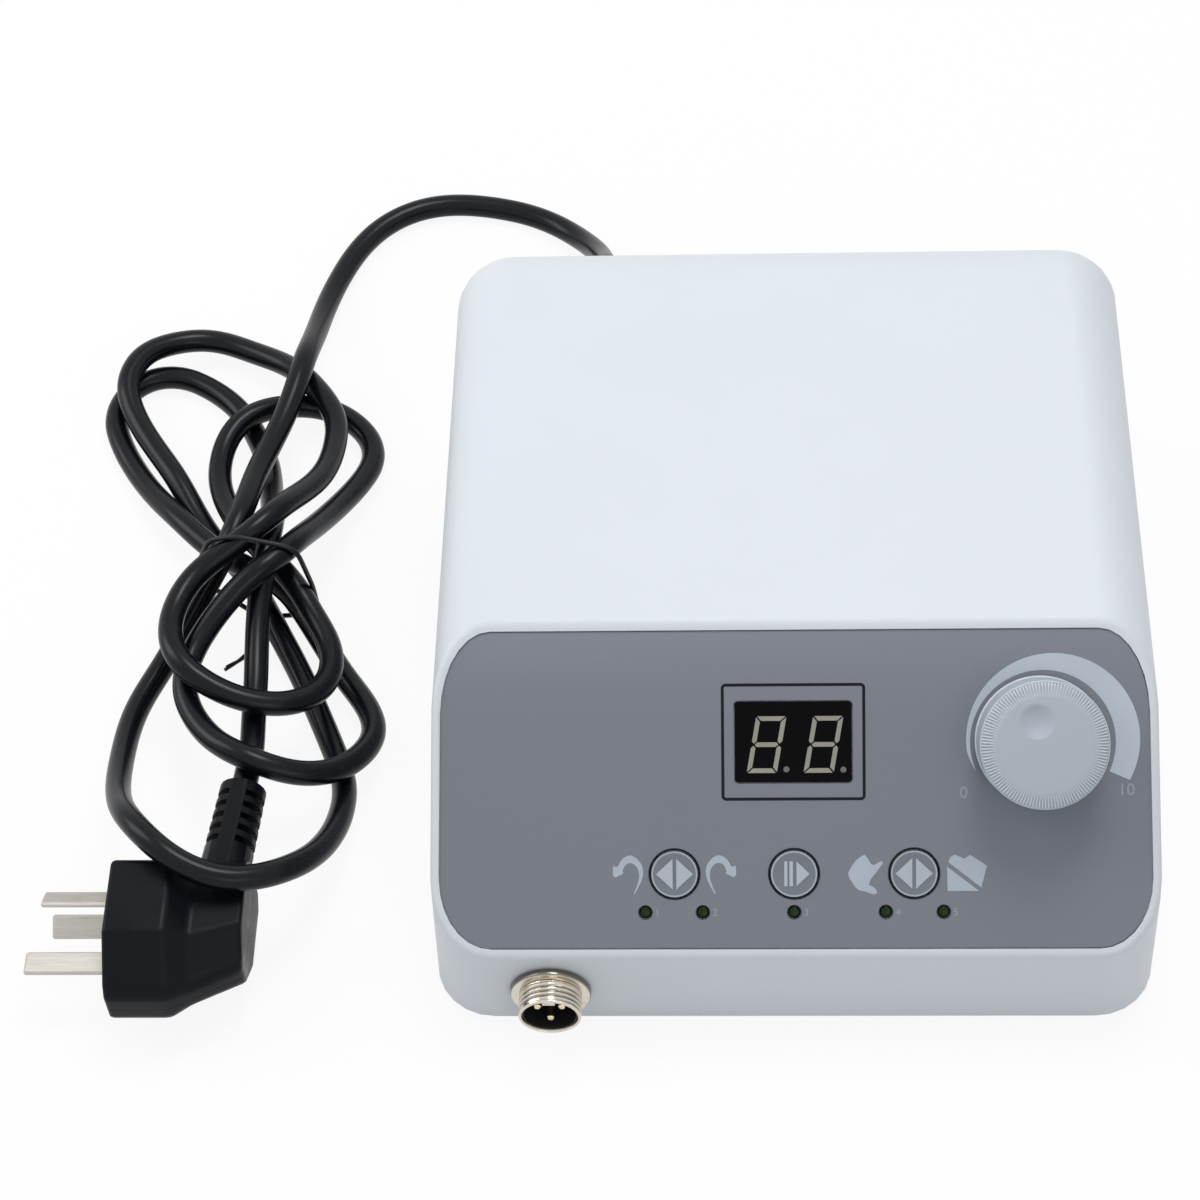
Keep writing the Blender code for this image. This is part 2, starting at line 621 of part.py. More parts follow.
def make_frames():
    """Empties that carry the frames of the slope, the front wall's socket, the rear wall and the plug."""
    front = HOUSING_Y - HOUSING_DEPTH / 2
    rear = HOUSING_Y + HOUSING_DEPTH / 2
    edge = front + FRONT_HEIGHT * math.tan(DRAFT)
    gland_lean = (GLAND_Z - FOOT_REACH) * math.tan(DRAFT)
    outward = QUARTER_TURN - DRAFT
    half_turn = 2 * QUARTER_TURN
    table = {
        "slope_frame": ((0, edge, FOOT_REACH + FRONT_HEIGHT), (SLOPE_ANGLE, 0, 0)),
        "socket_frame": ((SOCKET_X, front + SOCKET_LEAN, SOCKET_Z), (outward, 0, 0)),
        "rear_frame": ((0, rear - REAR_LEAN, REAR_Z), (outward, 0, half_turn)),
        "gland_frame": ((GLAND_X, rear - gland_lean, GLAND_Z), (outward, 0, half_turn)),
        "plug_frame": ((PLUG_X, PLUG_Y, PLUG_HALF_HEIGHT), (0, 0, 0)),
    }
    frames = {}
    for name, (place, turn) in table.items():
        empty = bpy.data.objects.new(name, None)
        empty.location = place
        empty.rotation_euler = turn
        parts.objects.link(empty)
        frames[name] = empty
    bpy.context.view_layer.update()
    return frames


def housing_mesh(name, inset, slope_inset, overrun, rim):
    """The housing's body with every wall moved inwards by the inset, cut by the slanted plane."""
    lean = (HOUSING_HEIGHT - inset) * math.tan(DRAFT)
    bm = bmesh.new()
    bmesh.ops.create_cube(bm, size=1)
    for vert in bm.verts:
        high = vert.co.z > 0
        x_half = HOUSING_WIDTH / 2 - inset - (lean if high else 0)
        y_half = HOUSING_DEPTH / 2 - inset - (lean if high else 0)
        vert.co.x = math.copysign(x_half, vert.co.x)
        vert.co.y = HOUSING_Y + math.copysign(y_half, vert.co.y)
        vert.co.z = FOOT_REACH + (HOUSING_HEIGHT - inset if high else -overrun)
    upright = [edge for edge in bm.edges if abs(edge.verts[0].co.z - edge.verts[1].co.z) > inset + WALL]
    bmesh.ops.bevel(bm, geom=upright, offset=PLAN_RADIUS - inset, segments=CORNER_SEGMENTS,
                    profile=0.5, affect="EDGES")
    top = max(vert.co.z for vert in bm.verts)
    upper = [edge for edge in bm.edges if all(top - vert.co.z < WELD for vert in edge.verts)]
    bmesh.ops.bevel(bm, geom=upper, offset=TOP_RADIUS - inset, segments=CORNER_SEGMENTS,
                    profile=0.5, affect="EDGES")
    front = HOUSING_Y - HOUSING_DEPTH / 2 + FRONT_HEIGHT * math.tan(DRAFT)
    normal = Vector((0, -math.sin(SLOPE_ANGLE), math.cos(SLOPE_ANGLE)))
    point = Vector((0, front, FOOT_REACH + FRONT_HEIGHT)) - normal * slope_inset
    whole = bm.verts[:] + bm.edges[:] + bm.faces[:]
    split = bmesh.ops.bisect_plane(bm, geom=whole, plane_co=point, plane_no=normal, clear_outer=True,
                                   dist=WELD)
    rim_edges = [item for item in split["geom_cut"] if isinstance(item, bmesh.types.BMEdge)]
    bmesh.ops.contextual_create(bm, geom=rim_edges)
    if rim:
        bmesh.ops.dissolve_degenerate(bm, edges=bm.edges, dist=MERGE)
        level = point.dot(normal)
        rim_edges = [edge for edge in bm.edges
                     if all(abs(vert.co.dot(normal) - level) < MERGE for vert in edge.verts)]
        bmesh.ops.bevel(bm, geom=rim_edges, offset=rim, offset_type="OFFSET", segments=RIM_SEGMENTS,
                        profile=0.5, affect="EDGES", clamp_overlap=False)
    return to_mesh(bm, name)


def foot_places():
    """The four (name, x, y) of feet, screws and bosses."""
    x = HOUSING_WIDTH / 2 - FOOT_INSET_X
    y = HOUSING_DEPTH / 2 - FOOT_INSET_Y
    return (
        ("front_left", -x, HOUSING_Y - y), ("front_right", x, HOUSING_Y - y),
        ("rear_left", -x, HOUSING_Y + y), ("rear_right", x, HOUSING_Y + y),
    )


def key_places():
    """The three (name, u) of the keys."""
    return (("direction_key", -KEY_SPACING), ("start_stop_key", 0), ("control_mode_key", KEY_SPACING))


def lamp_places():
    """The u of the five lamps."""
    return (-LAMP_OUTER_U, -LAMP_INNER_U, 0, LAMP_INNER_U, LAMP_OUTER_U)


def post_places():
    """The four (u, v) of the posts that hold the control board."""
    reach = BOARD_WIDTH / 2 - POST_INSET_U
    return [(BOARD_U + side * reach, v) for side in (-1, 1) for v in (POST_LOW_V, POST_HIGH_V)]


def make_housing(frames):
    """The housing: a moulded shell with bosses, posts, the overlay's recess and every opening."""
    slope = frames["slope_frame"]
    shell = add_object("upper_housing", housing_mesh("upper_housing", 0, 0, 0, RIM_ROUND), "housing_white")
    cavity = add_object("cavity", housing_mesh("cavity", WALL, SLOPE_WALL, OVERRUN, 0), None)
    for name, x, y in foot_places():
        boss = rod_mesh(name + "_boss", BOSS_RADIUS, PLATE_TOP + GAP, FOOT_REACH + HOUSING_HEIGHT)
        combine(cavity, add_object(name + "_boss", boss, None, None, (x, y, 0)))
    for index, (u, v) in enumerate(post_places(), 1):
        post = rod_mesh(f"post_{index}", POST_RADIUS, BOARD_N + GAP, 0)
        combine(cavity, add_object(f"post_{index}", post, None, slope, (u, v, 0)))
    combine(shell, cavity)
    recess = outline_mesh("overlay_recess", [slope_outline(RIM)], FLOOR_N, OVERRUN)
    combine(shell, add_object("overlay_recess", recess, None, slope))
    through = -SLOPE_WALL - OVERRUN / 2
    port_size = (2 * DIGIT_PITCH + PORT_MARGIN, DIGIT_HEIGHT + 2 * PORT_MARGIN, SLOPE_WALL + OVERRUN)
    port = box_mesh("display_port", port_size, (0, DISPLAY_V, FLOOR_N - SLOPE_WALL / 2))
    combine(shell, add_object("display_port", port, None, slope))
    for name, u in key_places():
        cut_rod(shell, name + "_hole", KEY_RADIUS + GAP, through, 0, slope, (u, KEY_V, 0), ROUND_STEPS)
    for index, u in enumerate(lamp_places(), 1):
        cut_rod(shell, f"lamp_hole_{index}", LAMP_RADIUS + GAP, through, 0, slope, (u, LAMP_V, 0), PIN_STEPS)
    cut_rod(shell, "shaft_hole", BUSH_RADIUS + GAP, through, 0, slope, (KNOB_U, KNOB_V, 0))
    inner, outer = -WALL - OVERRUN, OVERRUN
    cut_rod(shell, "socket_hole", SOCKET_THREAD_RADIUS + GAP, inner, outer, frames["socket_frame"],
            steps=ROUND_STEPS)
    rear = frames["rear_frame"]
    opening = (ROCKER_BODY_WIDTH + 2 * GAP, ROCKER_BODY_HEIGHT + 2 * GAP, WALL + 2 * OVERRUN)
    switch_hole = box_mesh("switch_hole", opening, (-ROCKER_X, 0, -WALL / 2))
    combine(shell, add_object("switch_hole", switch_hole, None, rear))
    cut_rod(shell, "fuse_hole", FUSE_BODY_RADIUS + GAP, inner, outer, rear, (-FUSE_X, 0, 0))
    cut_rod(shell, "jack_hole", JACK_THREAD_RADIUS + GAP, inner, outer, rear, (-JACK_X, 0, 0))
    cut_rod(shell, "gland_hole", GLAND_SHANK_RADIUS + GAP, inner, outer, frames["gland_frame"])
    for name, x, y in foot_places():
        cut_rod(shell, name + "_boss_hole", SCREW_RADIUS + GAP, FOOT_REACH, PLATE_TOP + BOSS_HOLE_DEPTH,
                None, (x, y, 0), PIN_STEPS)


def make_base():
    """The base plate with vent slots and standoffs, the rubber feet and their screws."""
    lean = (PLATE_RECESS + PLATE_THICKNESS) * math.tan(DRAFT)
    inset = WALL + lean + GAP
    width, depth = HOUSING_WIDTH - 2 * inset, HOUSING_DEPTH - 2 * inset
    edge = rounded_outline(width, depth, PLAN_RADIUS - inset, (0, HOUSING_Y), CORNER_SEGMENTS)
    sheet = outline_mesh("base_plate", [edge], PLATE_BOTTOM, PLATE_TOP)
    plate = add_object("base_plate", sheet, "plate_grey")
    low, high = PLATE_BOTTOM - OVERRUN, PLATE_TOP + OVERRUN
    for index in range(SLOT_COUNT):
        centre = (SLOT_FIELD_X + (index - (SLOT_COUNT - 1) / 2) * SLOT_PITCH, HOUSING_Y + SLOT_FIELD_Y)
        slot = rounded_outline(SLOT_WIDTH, SLOT_LENGTH, SLOT_WIDTH / 2, centre)
        name = f"vent_slot_{index + 1}"
        combine(plate, add_object(name, outline_mesh(name, [slot], low, high), None))
    for name, x, y in foot_places():
        cut_rod(plate, name + "_plate_hole", SCREW_RADIUS + GAP, low, high, None, (x, y, 0), PIN_STEPS)
    for index, (side, end) in enumerate(((-1, -1), (1, -1), (-1, 1), (1, 1)), 1):
        x = POWER_X + side * (POWER_WIDTH / 2 - STANDOFF_INSET)
        y = POWER_Y + end * (POWER_LENGTH / 2 - STANDOFF_INSET)
        post = rod_mesh(f"standoff_{index}", STANDOFF_RADIUS, PLATE_TOP - PLATE_THICKNESS / 2,
                        PLATE_TOP + STANDOFF_HEIGHT, PIN_STEPS)
        combine(plate, add_object(f"standoff_{index}", post, None, None, (x, y, 0)), "UNION")
    top = PLATE_BOTTOM - GAP
    seat = FOOT_SINK_DEPTH
    head_top = seat - GAP
    hole = SCREW_RADIUS + GAP
    foot_profile = ((hole, top), (FOOT_RADIUS, top), (FOOT_TIP_RADIUS, 0), (FOOT_SINK_RADIUS, 0),
                    (FOOT_SINK_RADIUS, seat), (hole, seat))
    tip, head_low = head_top + SCREW_LENGTH, head_top - SCREW_HEAD_HEIGHT
    screw_profile = ((0, tip), (SCREW_RADIUS, tip), (SCREW_RADIUS, head_top), (SCREW_HEAD_RADIUS, head_top),
                     (SCREW_HEAD_RADIUS, head_low), (0, head_low))
    for name, x, y in foot_places():
        turned(name + "_foot", foot_profile, "rubber_black", None, (x, y, 0), steps=SMALL_STEPS)
        turned(name + "_screw", screw_profile, "steel", None, (x, y, 0), steps=PIN_STEPS)


def make_front(frames):
    """The overlay, the display, the lamps, the keys and the control board with its switches."""
    slope = frames["slope_frame"]
    bottom = FACE_N - OVERLAY_THICKNESS
    edge = outline_mesh("front_overlay", [slope_outline(RIM + GAP)], bottom, FACE_N)
    overlay = add_object("front_overlay", edge, "overlay_grey", slope)
    low, high = bottom - OVERRUN, FACE_N + OVERRUN
    middle = (0, DISPLAY_V)
    window_edge = rounded_outline(WINDOW_WIDTH + 2 * GAP, WINDOW_HEIGHT + 2 * GAP, WINDOW_RADIUS + GAP,
                                  middle)
    window_hole = outline_mesh("window_hole", [window_edge], low, high)
    combine(overlay, add_object("window_hole", window_hole, None, slope))
    for name, u in key_places():
        cut_rod(overlay, name + "_opening", KEY_RADIUS + GAP, low, high, slope, (u, KEY_V, 0), ROUND_STEPS)
    for index, u in enumerate(lamp_places(), 1):
        cut_rod(overlay, f"lamp_opening_{index}", LAMP_RADIUS + GAP, low, high, slope, (u, LAMP_V, 0),
                PIN_STEPS)
    cut_rod(overlay, "shaft_opening", BUSH_RADIUS + GAP, low, high, slope, (KNOB_U, KNOB_V, 0))
    window = rounded_outline(WINDOW_WIDTH, WINDOW_HEIGHT, WINDOW_RADIUS, middle)
    pane = outline_mesh("display_window", [window], bottom, FACE_N)
    add_object("display_window", pane, "dark_window", slope)
    module_top = bottom - GAP
    module_low = BOARD_N + GAP
    module_size = (DIGIT_PITCH - GAP, DIGIT_HEIGHT, module_top - module_low)
    for index, side in enumerate((-1, 1), 1):
        centre = (side * DIGIT_PITCH / 2, DISPLAY_V, (module_top + module_low) / 2)
        module = box_mesh(f"digit_module_{index}", module_size, centre, DIGIT_BEVEL, 1)
        add_object(f"digit_module_{index}", module, "plastic_black", slope)
    under = -SLOPE_WALL - GAP
    lamp_profile = (
        (0, FACE_N), (LAMP_RADIUS - LAMP_DOME, FACE_N), (LAMP_RADIUS, FACE_N - LAMP_DOME),
        (LAMP_RADIUS, under), (LAMP_FLANGE_RADIUS, under), (LAMP_FLANGE_RADIUS, under - LAMP_FLANGE_HEIGHT),
        (LAMP_LEAD_RADIUS, under - LAMP_FLANGE_HEIGHT), (LAMP_LEAD_RADIUS, BOARD_N + GAP), (0, BOARD_N + GAP),
    )
    for index, u in enumerate(lamp_places(), 1):
        turned(f"lamp_{index}", lamp_profile, "lamp_green", slope, (u, LAMP_V, 0), steps=PIN_STEPS)
    cap = FACE_N + KEY_PROUD
    stem_end = SWITCH_TOP + KEY_TRAVEL + GAP
    key_profile = (
        (0, cap - KEY_DISH_DEPTH), (KEY_DISH_RADIUS / 2, cap - KEY_DISH_DEPTH), (KEY_DISH_RADIUS, cap),
        (KEY_RADIUS - KEY_EDGE, cap), (KEY_RADIUS, cap - KEY_EDGE), (KEY_RADIUS, under),
        (KEY_FLANGE_RADIUS, under), (KEY_FLANGE_RADIUS, under - KEY_FLANGE_THICKNESS),
        (KEY_STEM_RADIUS, under - KEY_FLANGE_THICKNESS), (KEY_STEM_RADIUS, stem_end), (0, stem_end),
    )
    switch_size = (SWITCH_SIZE, SWITCH_SIZE, SWITCH_HEIGHT)
    for index, (name, u) in enumerate(key_places(), 1):
        turned(name, key_profile, "key_grey", slope, (u, KEY_V, 0))
        centre = (u, KEY_V, BOARD_N + GAP + SWITCH_HEIGHT / 2)
        switch = box_mesh(f"key_switch_{index}", switch_size, centre, SWITCH_BEVEL, 1)
        add_object(f"key_switch_{index}", switch, "plastic_black", slope)
    board_size = (BOARD_WIDTH, BOARD_LENGTH, BOARD_THICKNESS)
    board = box_mesh("control_board", board_size, (BOARD_U, BOARD_V, BOARD_N - BOARD_THICKNESS / 2))
    add_object("control_board", board, "board_green", slope)


def make_knob(frames):
    """The speed knob, and the potentiometer with its shaft, bush and nut."""
    slope = frames["slope_frame"]
    place = (KNOB_U, KNOB_V, 0)
    bore = SHAFT_RADIUS + GAP
    hub_end = BUSH_TOP + GAP
    ceiling = KNOB_TOP - KNOB_SHELL - KNOB_RING_DROP
    profile = (
        (0, KNOB_TOP), (KNOB_RING_RADIUS - KNOB_EDGE, KNOB_TOP - KNOB_CROWN_DROP),
        (KNOB_RING_RADIUS, KNOB_TOP - KNOB_RING_DROP),
        (KNOB_TOP_RADIUS - KNOB_EDGE, KNOB_TOP - KNOB_RING_DROP - KNOB_CROWN_DROP),
        (KNOB_TOP_RADIUS, KNOB_TOP - KNOB_RING_DROP - KNOB_EDGE - KNOB_CROWN_DROP), (KNOB_BASE_RADIUS, KNOB_LIFT),
        (KNOB_BASE_RADIUS - KNOB_SHELL, KNOB_LIFT), (KNOB_TOP_RADIUS - KNOB_SHELL, ceiling),
        (KNOB_HUB_RADIUS, ceiling), (KNOB_HUB_RADIUS, hub_end), (bore, hub_end), (bore, ceiling), (0, ceiling),
    )
    knob = turned("speed_knob", profile, "knob_white", slope, place, steps=2 * SMALL_STEPS)
    ball = (DIMPLE_RADIUS ** 2 + DIMPLE_DEPTH ** 2) / (2 * DIMPLE_DEPTH)
    bm = bmesh.new()
    bmesh.ops.create_uvsphere(bm, u_segments=SMALL_STEPS, v_segments=2 * SMALL_STEPS, radius=ball)
    dimple = add_object("finger_dimple", to_mesh(bm, "finger_dimple"), None, slope)
    dimple.location = (KNOB_U + DIMPLE_OFFSET * math.cos(DIMPLE_ANGLE),
                       KNOB_V + DIMPLE_OFFSET * math.sin(DIMPLE_ANGLE), KNOB_TOP + ball - DIMPLE_DEPTH)
    combine(knob, dimple)
    shaft_low = POT_TOP - SHAFT_TAIL
    shaft = rod_mesh("potentiometer_shaft", SHAFT_RADIUS, shaft_low, SHAFT_TOP)
    add_object("potentiometer_shaft", shaft, "aluminium", slope, place)
    body_low = POT_TOP - POT_LENGTH
    bush_bore = SHAFT_RADIUS + GAP
    body = turned("potentiometer", (
        (bush_bore, BUSH_TOP), (BUSH_RADIUS, BUSH_TOP), (BUSH_RADIUS, POT_TOP), (POT_RADIUS, POT_TOP),
        (POT_RADIUS, body_low), (0, body_low), (0, shaft_low - GAP), (bush_bore, shaft_low - GAP),
    ), "steel", slope, place)
    for index in range(LUG_COUNT):
        u = (index - (LUG_COUNT - 1) / 2) * LUG_PITCH
        size = (LUG_WIDTH, POT_RADIUS + LUG_LENGTH, LUG_THICKNESS)
        lug = box_mesh(f"lug_{index + 1}", size, (u, -size[1] / 2, body_low + POT_LENGTH / 4))
        combine(body, add_object(f"lug_{index + 1}", lug, None, slope, place), "UNION")
    nut_low = FACE_N + GAP
    nut_radius = POT_NUT_FLATS / 2 / math.cos(FULL_TURN / HEX_SIDES / 2)
    nut_mesh = rod_mesh("potentiometer_nut", nut_radius, nut_low, nut_low + POT_NUT_THICKNESS, HEX_SIDES)
    nut = add_object("potentiometer_nut", nut_mesh, "brass", slope, place)
    cut_rod(nut, "nut_bore", BUSH_RADIUS + GAP, FACE_N, nut_low + POT_NUT_THICKNESS + OVERRUN, slope, place)


def make_socket(frames):
    """The round motor socket with its insert, contact pins and nut."""
    frame = frames["socket_frame"]
    flange_top = GAP + SOCKET_FLANGE_THICKNESS
    rim = SOCKET_REACH - SOCKET_RIM_BEVEL
    turned("motor_socket", (
        (SOCKET_BORE_RADIUS, SOCKET_REACH), (SOCKET_THREAD_RADIUS - SOCKET_RIM_BEVEL, SOCKET_REACH),
        (SOCKET_THREAD_RADIUS, rim), (SOCKET_THREAD_RADIUS, flange_top),
        (SOCKET_FLANGE_RADIUS - SOCKET_FLANGE_BEVEL, flange_top),
        (SOCKET_FLANGE_RADIUS, flange_top - SOCKET_FLANGE_BEVEL), (SOCKET_FLANGE_RADIUS, GAP),
        (SOCKET_THREAD_RADIUS, GAP), (SOCKET_THREAD_RADIUS, -SOCKET_SHANK_LENGTH),
        (SOCKET_BORE_RADIUS, -SOCKET_SHANK_LENGTH),
    ), "nickel", frame)
    insert_low = SOCKET_INSERT_FACE - SOCKET_INSERT_LENGTH
    insert_mesh = rod_mesh("socket_insert", SOCKET_BORE_RADIUS - GAP, insert_low, SOCKET_INSERT_FACE, ROUND_STEPS)
    insert = add_object("socket_insert", insert_mesh, "plastic_black", frame)
    for index, angle in enumerate(SOCKET_PIN_ANGLES, 1):
        place = (SOCKET_PIN_CIRCLE * math.cos(angle), SOCKET_PIN_CIRCLE * math.sin(angle), 0)
        cut_rod(insert, f"contact_hole_{index}", SOCKET_PIN_RADIUS + GAP, insert_low - OVERRUN,
                SOCKET_INSERT_FACE + OVERRUN, frame, place, PIN_STEPS)
        tip = SOCKET_REACH - SOCKET_PIN_SETBACK
        turned(f"contact_pin_{index}", (
            (0, tip), (SOCKET_PIN_RADIUS - SOCKET_PIN_BEVEL, tip), (SOCKET_PIN_RADIUS, tip - SOCKET_PIN_BEVEL),
            (SOCKET_PIN_RADIUS, insert_low - SOCKET_PIN_TAIL), (0, insert_low - SOCKET_PIN_TAIL),
        ), "brass", frame, place, steps=PIN_STEPS)
    nut_top = -WALL - GAP
    nut_radius = SOCKET_NUT_FLATS / 2 / math.cos(FULL_TURN / HEX_SIDES / 2)
    nut_mesh = rod_mesh("socket_nut", nut_radius, nut_top - SOCKET_NUT_THICKNESS, nut_top, HEX_SIDES,
                        turn=FULL_TURN / HEX_SIDES / 2)
    nut = add_object("socket_nut", nut_mesh, "nickel", frame)
    cut_rod(nut, "socket_nut_bore", SOCKET_THREAD_RADIUS + GAP, nut_top - SOCKET_NUT_THICKNESS - OVERRUN,
            nut_top + OVERRUN, frame, steps=ROUND_STEPS)


def make_rocker(frame):
    """The power switch: its body, and the rocker that tips about an axis across the well."""
    flange_top = GAP + ROCKER_FLANGE_THICKNESS
    flange_size = (ROCKER_FLANGE_WIDTH, ROCKER_FLANGE_HEIGHT, ROCKER_FLANGE_THICKNESS)
    body = add_object("power_switch_body", box_mesh("power_switch_body", flange_size,
                      (-ROCKER_X, 0, GAP + ROCKER_FLANGE_THICKNESS / 2), GAP, 1), "plastic_black", frame)
    can_top = flange_top - ROCKER_FLANGE_THICKNESS / 2
    can_length = can_top + WALL + ROCKER_BODY_LENGTH
    can = box_mesh("switch_can", (ROCKER_BODY_WIDTH, ROCKER_BODY_HEIGHT, can_length),
                   (-ROCKER_X, 0, can_top - can_length / 2))
    combine(body, add_object("switch_can", can, None, frame), "UNION")
    well = box_mesh("switch_well", (ROCKER_WELL_WIDTH, ROCKER_WELL_HEIGHT, ROCKER_WELL_DEPTH + OVERRUN),
                    (-ROCKER_X, 0, flange_top - ROCKER_WELL_DEPTH / 2 + OVERRUN / 2))
    combine(body, add_object("switch_well", well, None, frame))
    outline = ((-ROCKER_HALF_LENGTH, -ROCKER_SKIRT), (0, -ROCKER_KEEL), (ROCKER_HALF_LENGTH, -ROCKER_SKIRT),
               (ROCKER_HALF_LENGTH, ROCKER_CREST), (0, ROCKER_DIP), (-ROCKER_HALF_LENGTH, ROCKER_CREST))
    half = ROCKER_WELL_WIDTH / 2 - GAP
    mesh = outline_mesh("power_rocker", [outline], -half, half)
    stand = Matrix(((0, 0, 1, 0), (1, 0, 0, 0), (0, 1, 0, 0), (0, 0, 0, 1)))
    mesh.transform(Matrix.Rotation(-ROCKER_THROW / 2, 4, "X") @ stand)
    add_object("power_rocker", mesh, "plastic_black", frame, (-ROCKER_X, 0, ROCKER_PIVOT_Z))


def make_fuse(frame):
    """The fuse holder in the rear wall and its slotted bayonet cap."""
    place = (-FUSE_X, 0, 0)
    flange_top = GAP + FUSE_FLANGE_THICKNESS
    bore = FUSE_STEM_RADIUS + GAP
    low = -WALL - FUSE_BODY_LENGTH
    turned("fuse_holder", (
        (bore, flange_top), (FUSE_FLANGE_RADIUS, flange_top), (FUSE_FLANGE_RADIUS, GAP), (FUSE_BODY_RADIUS, GAP),
        (FUSE_BODY_RADIUS, low), (0, low), (0, low + FUSE_BOTTOM), (bore, low + FUSE_BOTTOM),
    ), "plastic_black", frame, place, steps=ROUND_STEPS)
    cap_low = flange_top + GAP
    cap = turned("fuse_cap", (
        (0, FUSE_CAP_REACH), (FUSE_CAP_RADIUS - FUSE_CAP_BEVEL, FUSE_CAP_REACH),
        (FUSE_CAP_RADIUS, FUSE_CAP_REACH - FUSE_CAP_BEVEL), (FUSE_CAP_RADIUS, cap_low), (FUSE_STEM_RADIUS, cap_low),
        (FUSE_STEM_RADIUS, cap_low - FUSE_STEM_LENGTH), (0, cap_low - FUSE_STEM_LENGTH),
    ), "plastic_black", frame, place, steps=SMALL_STEPS)
    slot_size = (2 * FUSE_CAP_RADIUS + OVERRUN, FUSE_SLOT_WIDTH, 2 * FUSE_SLOT_DEPTH)
    slot = box_mesh("cap_slot", slot_size, (0, 0, FUSE_CAP_REACH))
    combine(cap, add_object("cap_slot", slot, None, frame, place))


def make_jack(frame):
    """The foot control jack and its round nut."""
    place = (-JACK_X, 0, 0)
    shoulder = -WALL - GAP
    bottom = JACK_REACH - JACK_BORE_DEPTH
    turned("foot_control_jack", (
        (JACK_BORE_RADIUS, JACK_REACH), (JACK_THREAD_RADIUS, JACK_REACH), (JACK_THREAD_RADIUS, shoulder),
        (JACK_BODY_RADIUS, shoulder), (JACK_BODY_RADIUS, shoulder - JACK_BODY_LENGTH),
        (0, shoulder - JACK_BODY_LENGTH), (0, bottom), (JACK_BORE_RADIUS, bottom),
    ), "plastic_black", frame, place, steps=SMALL_STEPS)
    bore = JACK_THREAD_RADIUS + GAP
    turned("jack_nut", (
        (bore, GAP + JACK_NUT_THICKNESS), (JACK_NUT_RADIUS, GAP + JACK_NUT_THICKNESS),
        (JACK_NUT_RADIUS, GAP), (bore, GAP),
    ), "nickel", frame, place, steps=SMALL_STEPS)


def make_transformer():
    """The mains transformer: a laminated core with two windows, and its winding round the middle leg."""
    low = PLATE_TOP + GAP
    middle = low + CORE_HEIGHT / 2
    core = add_object("transformer_core", box_mesh("transformer_core", (CORE_WIDTH, CORE_DEPTH, CORE_HEIGHT),
                      (CORE_X, CORE_Y, middle)), "core_steel")
    window = (CORE_WINDOW_WIDTH, CORE_DEPTH + OVERRUN, CORE_WINDOW_HEIGHT)
    for name, side in (("left", -1), ("right", 1)):
        x = CORE_X + side * (CORE_LEG + CORE_WINDOW_WIDTH) / 2
        hole = box_mesh(name + "_core_window", window, (x, CORE_Y, middle))
        cutter = add_object(name + "_core_window", hole, None)
        combine(core, cutter)
    size = (CORE_LEG + 2 * CORE_WINDOW_WIDTH - 2 * GAP, CORE_DEPTH + 2 * WINDING_BULGE,
            CORE_WINDOW_HEIGHT - 2 * GAP)
    centre = (CORE_X, CORE_Y, middle)
    winding = add_object("transformer_winding", box_mesh("transformer_winding", size, centre, WINDING_BEVEL),
                         "winding_tape")
    leg = (CORE_LEG + 2 * GAP, CORE_DEPTH + 2 * GAP, CORE_WINDOW_HEIGHT + OVERRUN)
    combine(winding, add_object("winding_bore", box_mesh("winding_bore", leg, centre), None))


def make_power_board():
    """The power board on its standoffs, with its capacitor, relay and heat sink."""
    middle = (POWER_BOTTOM + POWER_TOP) / 2
    size = (POWER_WIDTH, POWER_LENGTH, BOARD_THICKNESS)
    add_object("power_board", box_mesh("power_board", size, (POWER_X, POWER_Y, middle)), "board_green")
    low = POWER_TOP + GAP
    turned("smoothing_capacitor", (
        (0, low + CAPACITOR_HEIGHT), (CAPACITOR_RADIUS - CAPACITOR_BEVEL, low + CAPACITOR_HEIGHT),
        (CAPACITOR_RADIUS, low + CAPACITOR_HEIGHT - CAPACITOR_BEVEL), (CAPACITOR_RADIUS, low), (0, low),
    ), "component_blue", None, (POWER_X + CAPACITOR_U, POWER_Y + CAPACITOR_V, 0), steps=SMALL_STEPS)
    size = (RELAY_WIDTH, RELAY_DEPTH, RELAY_HEIGHT)
    centre = (POWER_X + RELAY_U, POWER_Y + RELAY_V, low + RELAY_HEIGHT / 2)
    relay = box_mesh("relay", size, centre, RELAY_BEVEL, 1)
    add_object("relay", relay, "plastic_black")
    left = POWER_X + SINK_U - SINK_WIDTH / 2
    front = POWER_Y + SINK_V - SINK_DEPTH / 2
    outline = [(left, front), (left + SINK_WIDTH, front)]
    pitch = SINK_WIDTH / (SINK_FIN_COUNT - 1 + SINK_FIN_SHARE)
    for index in reversed(range(SINK_FIN_COUNT)):
        near, far = left + index * pitch, left + (index + SINK_FIN_SHARE) * pitch
        outline += [(far, front + SINK_DEPTH), (near, front + SINK_DEPTH)]
        if index:
            outline += [(near, front + SINK_SPINE), (near - pitch * (1 - SINK_FIN_SHARE), front + SINK_SPINE)]
    add_object("heat_sink", outline_mesh("heat_sink", [outline], low, low + SINK_HEIGHT), "aluminium")


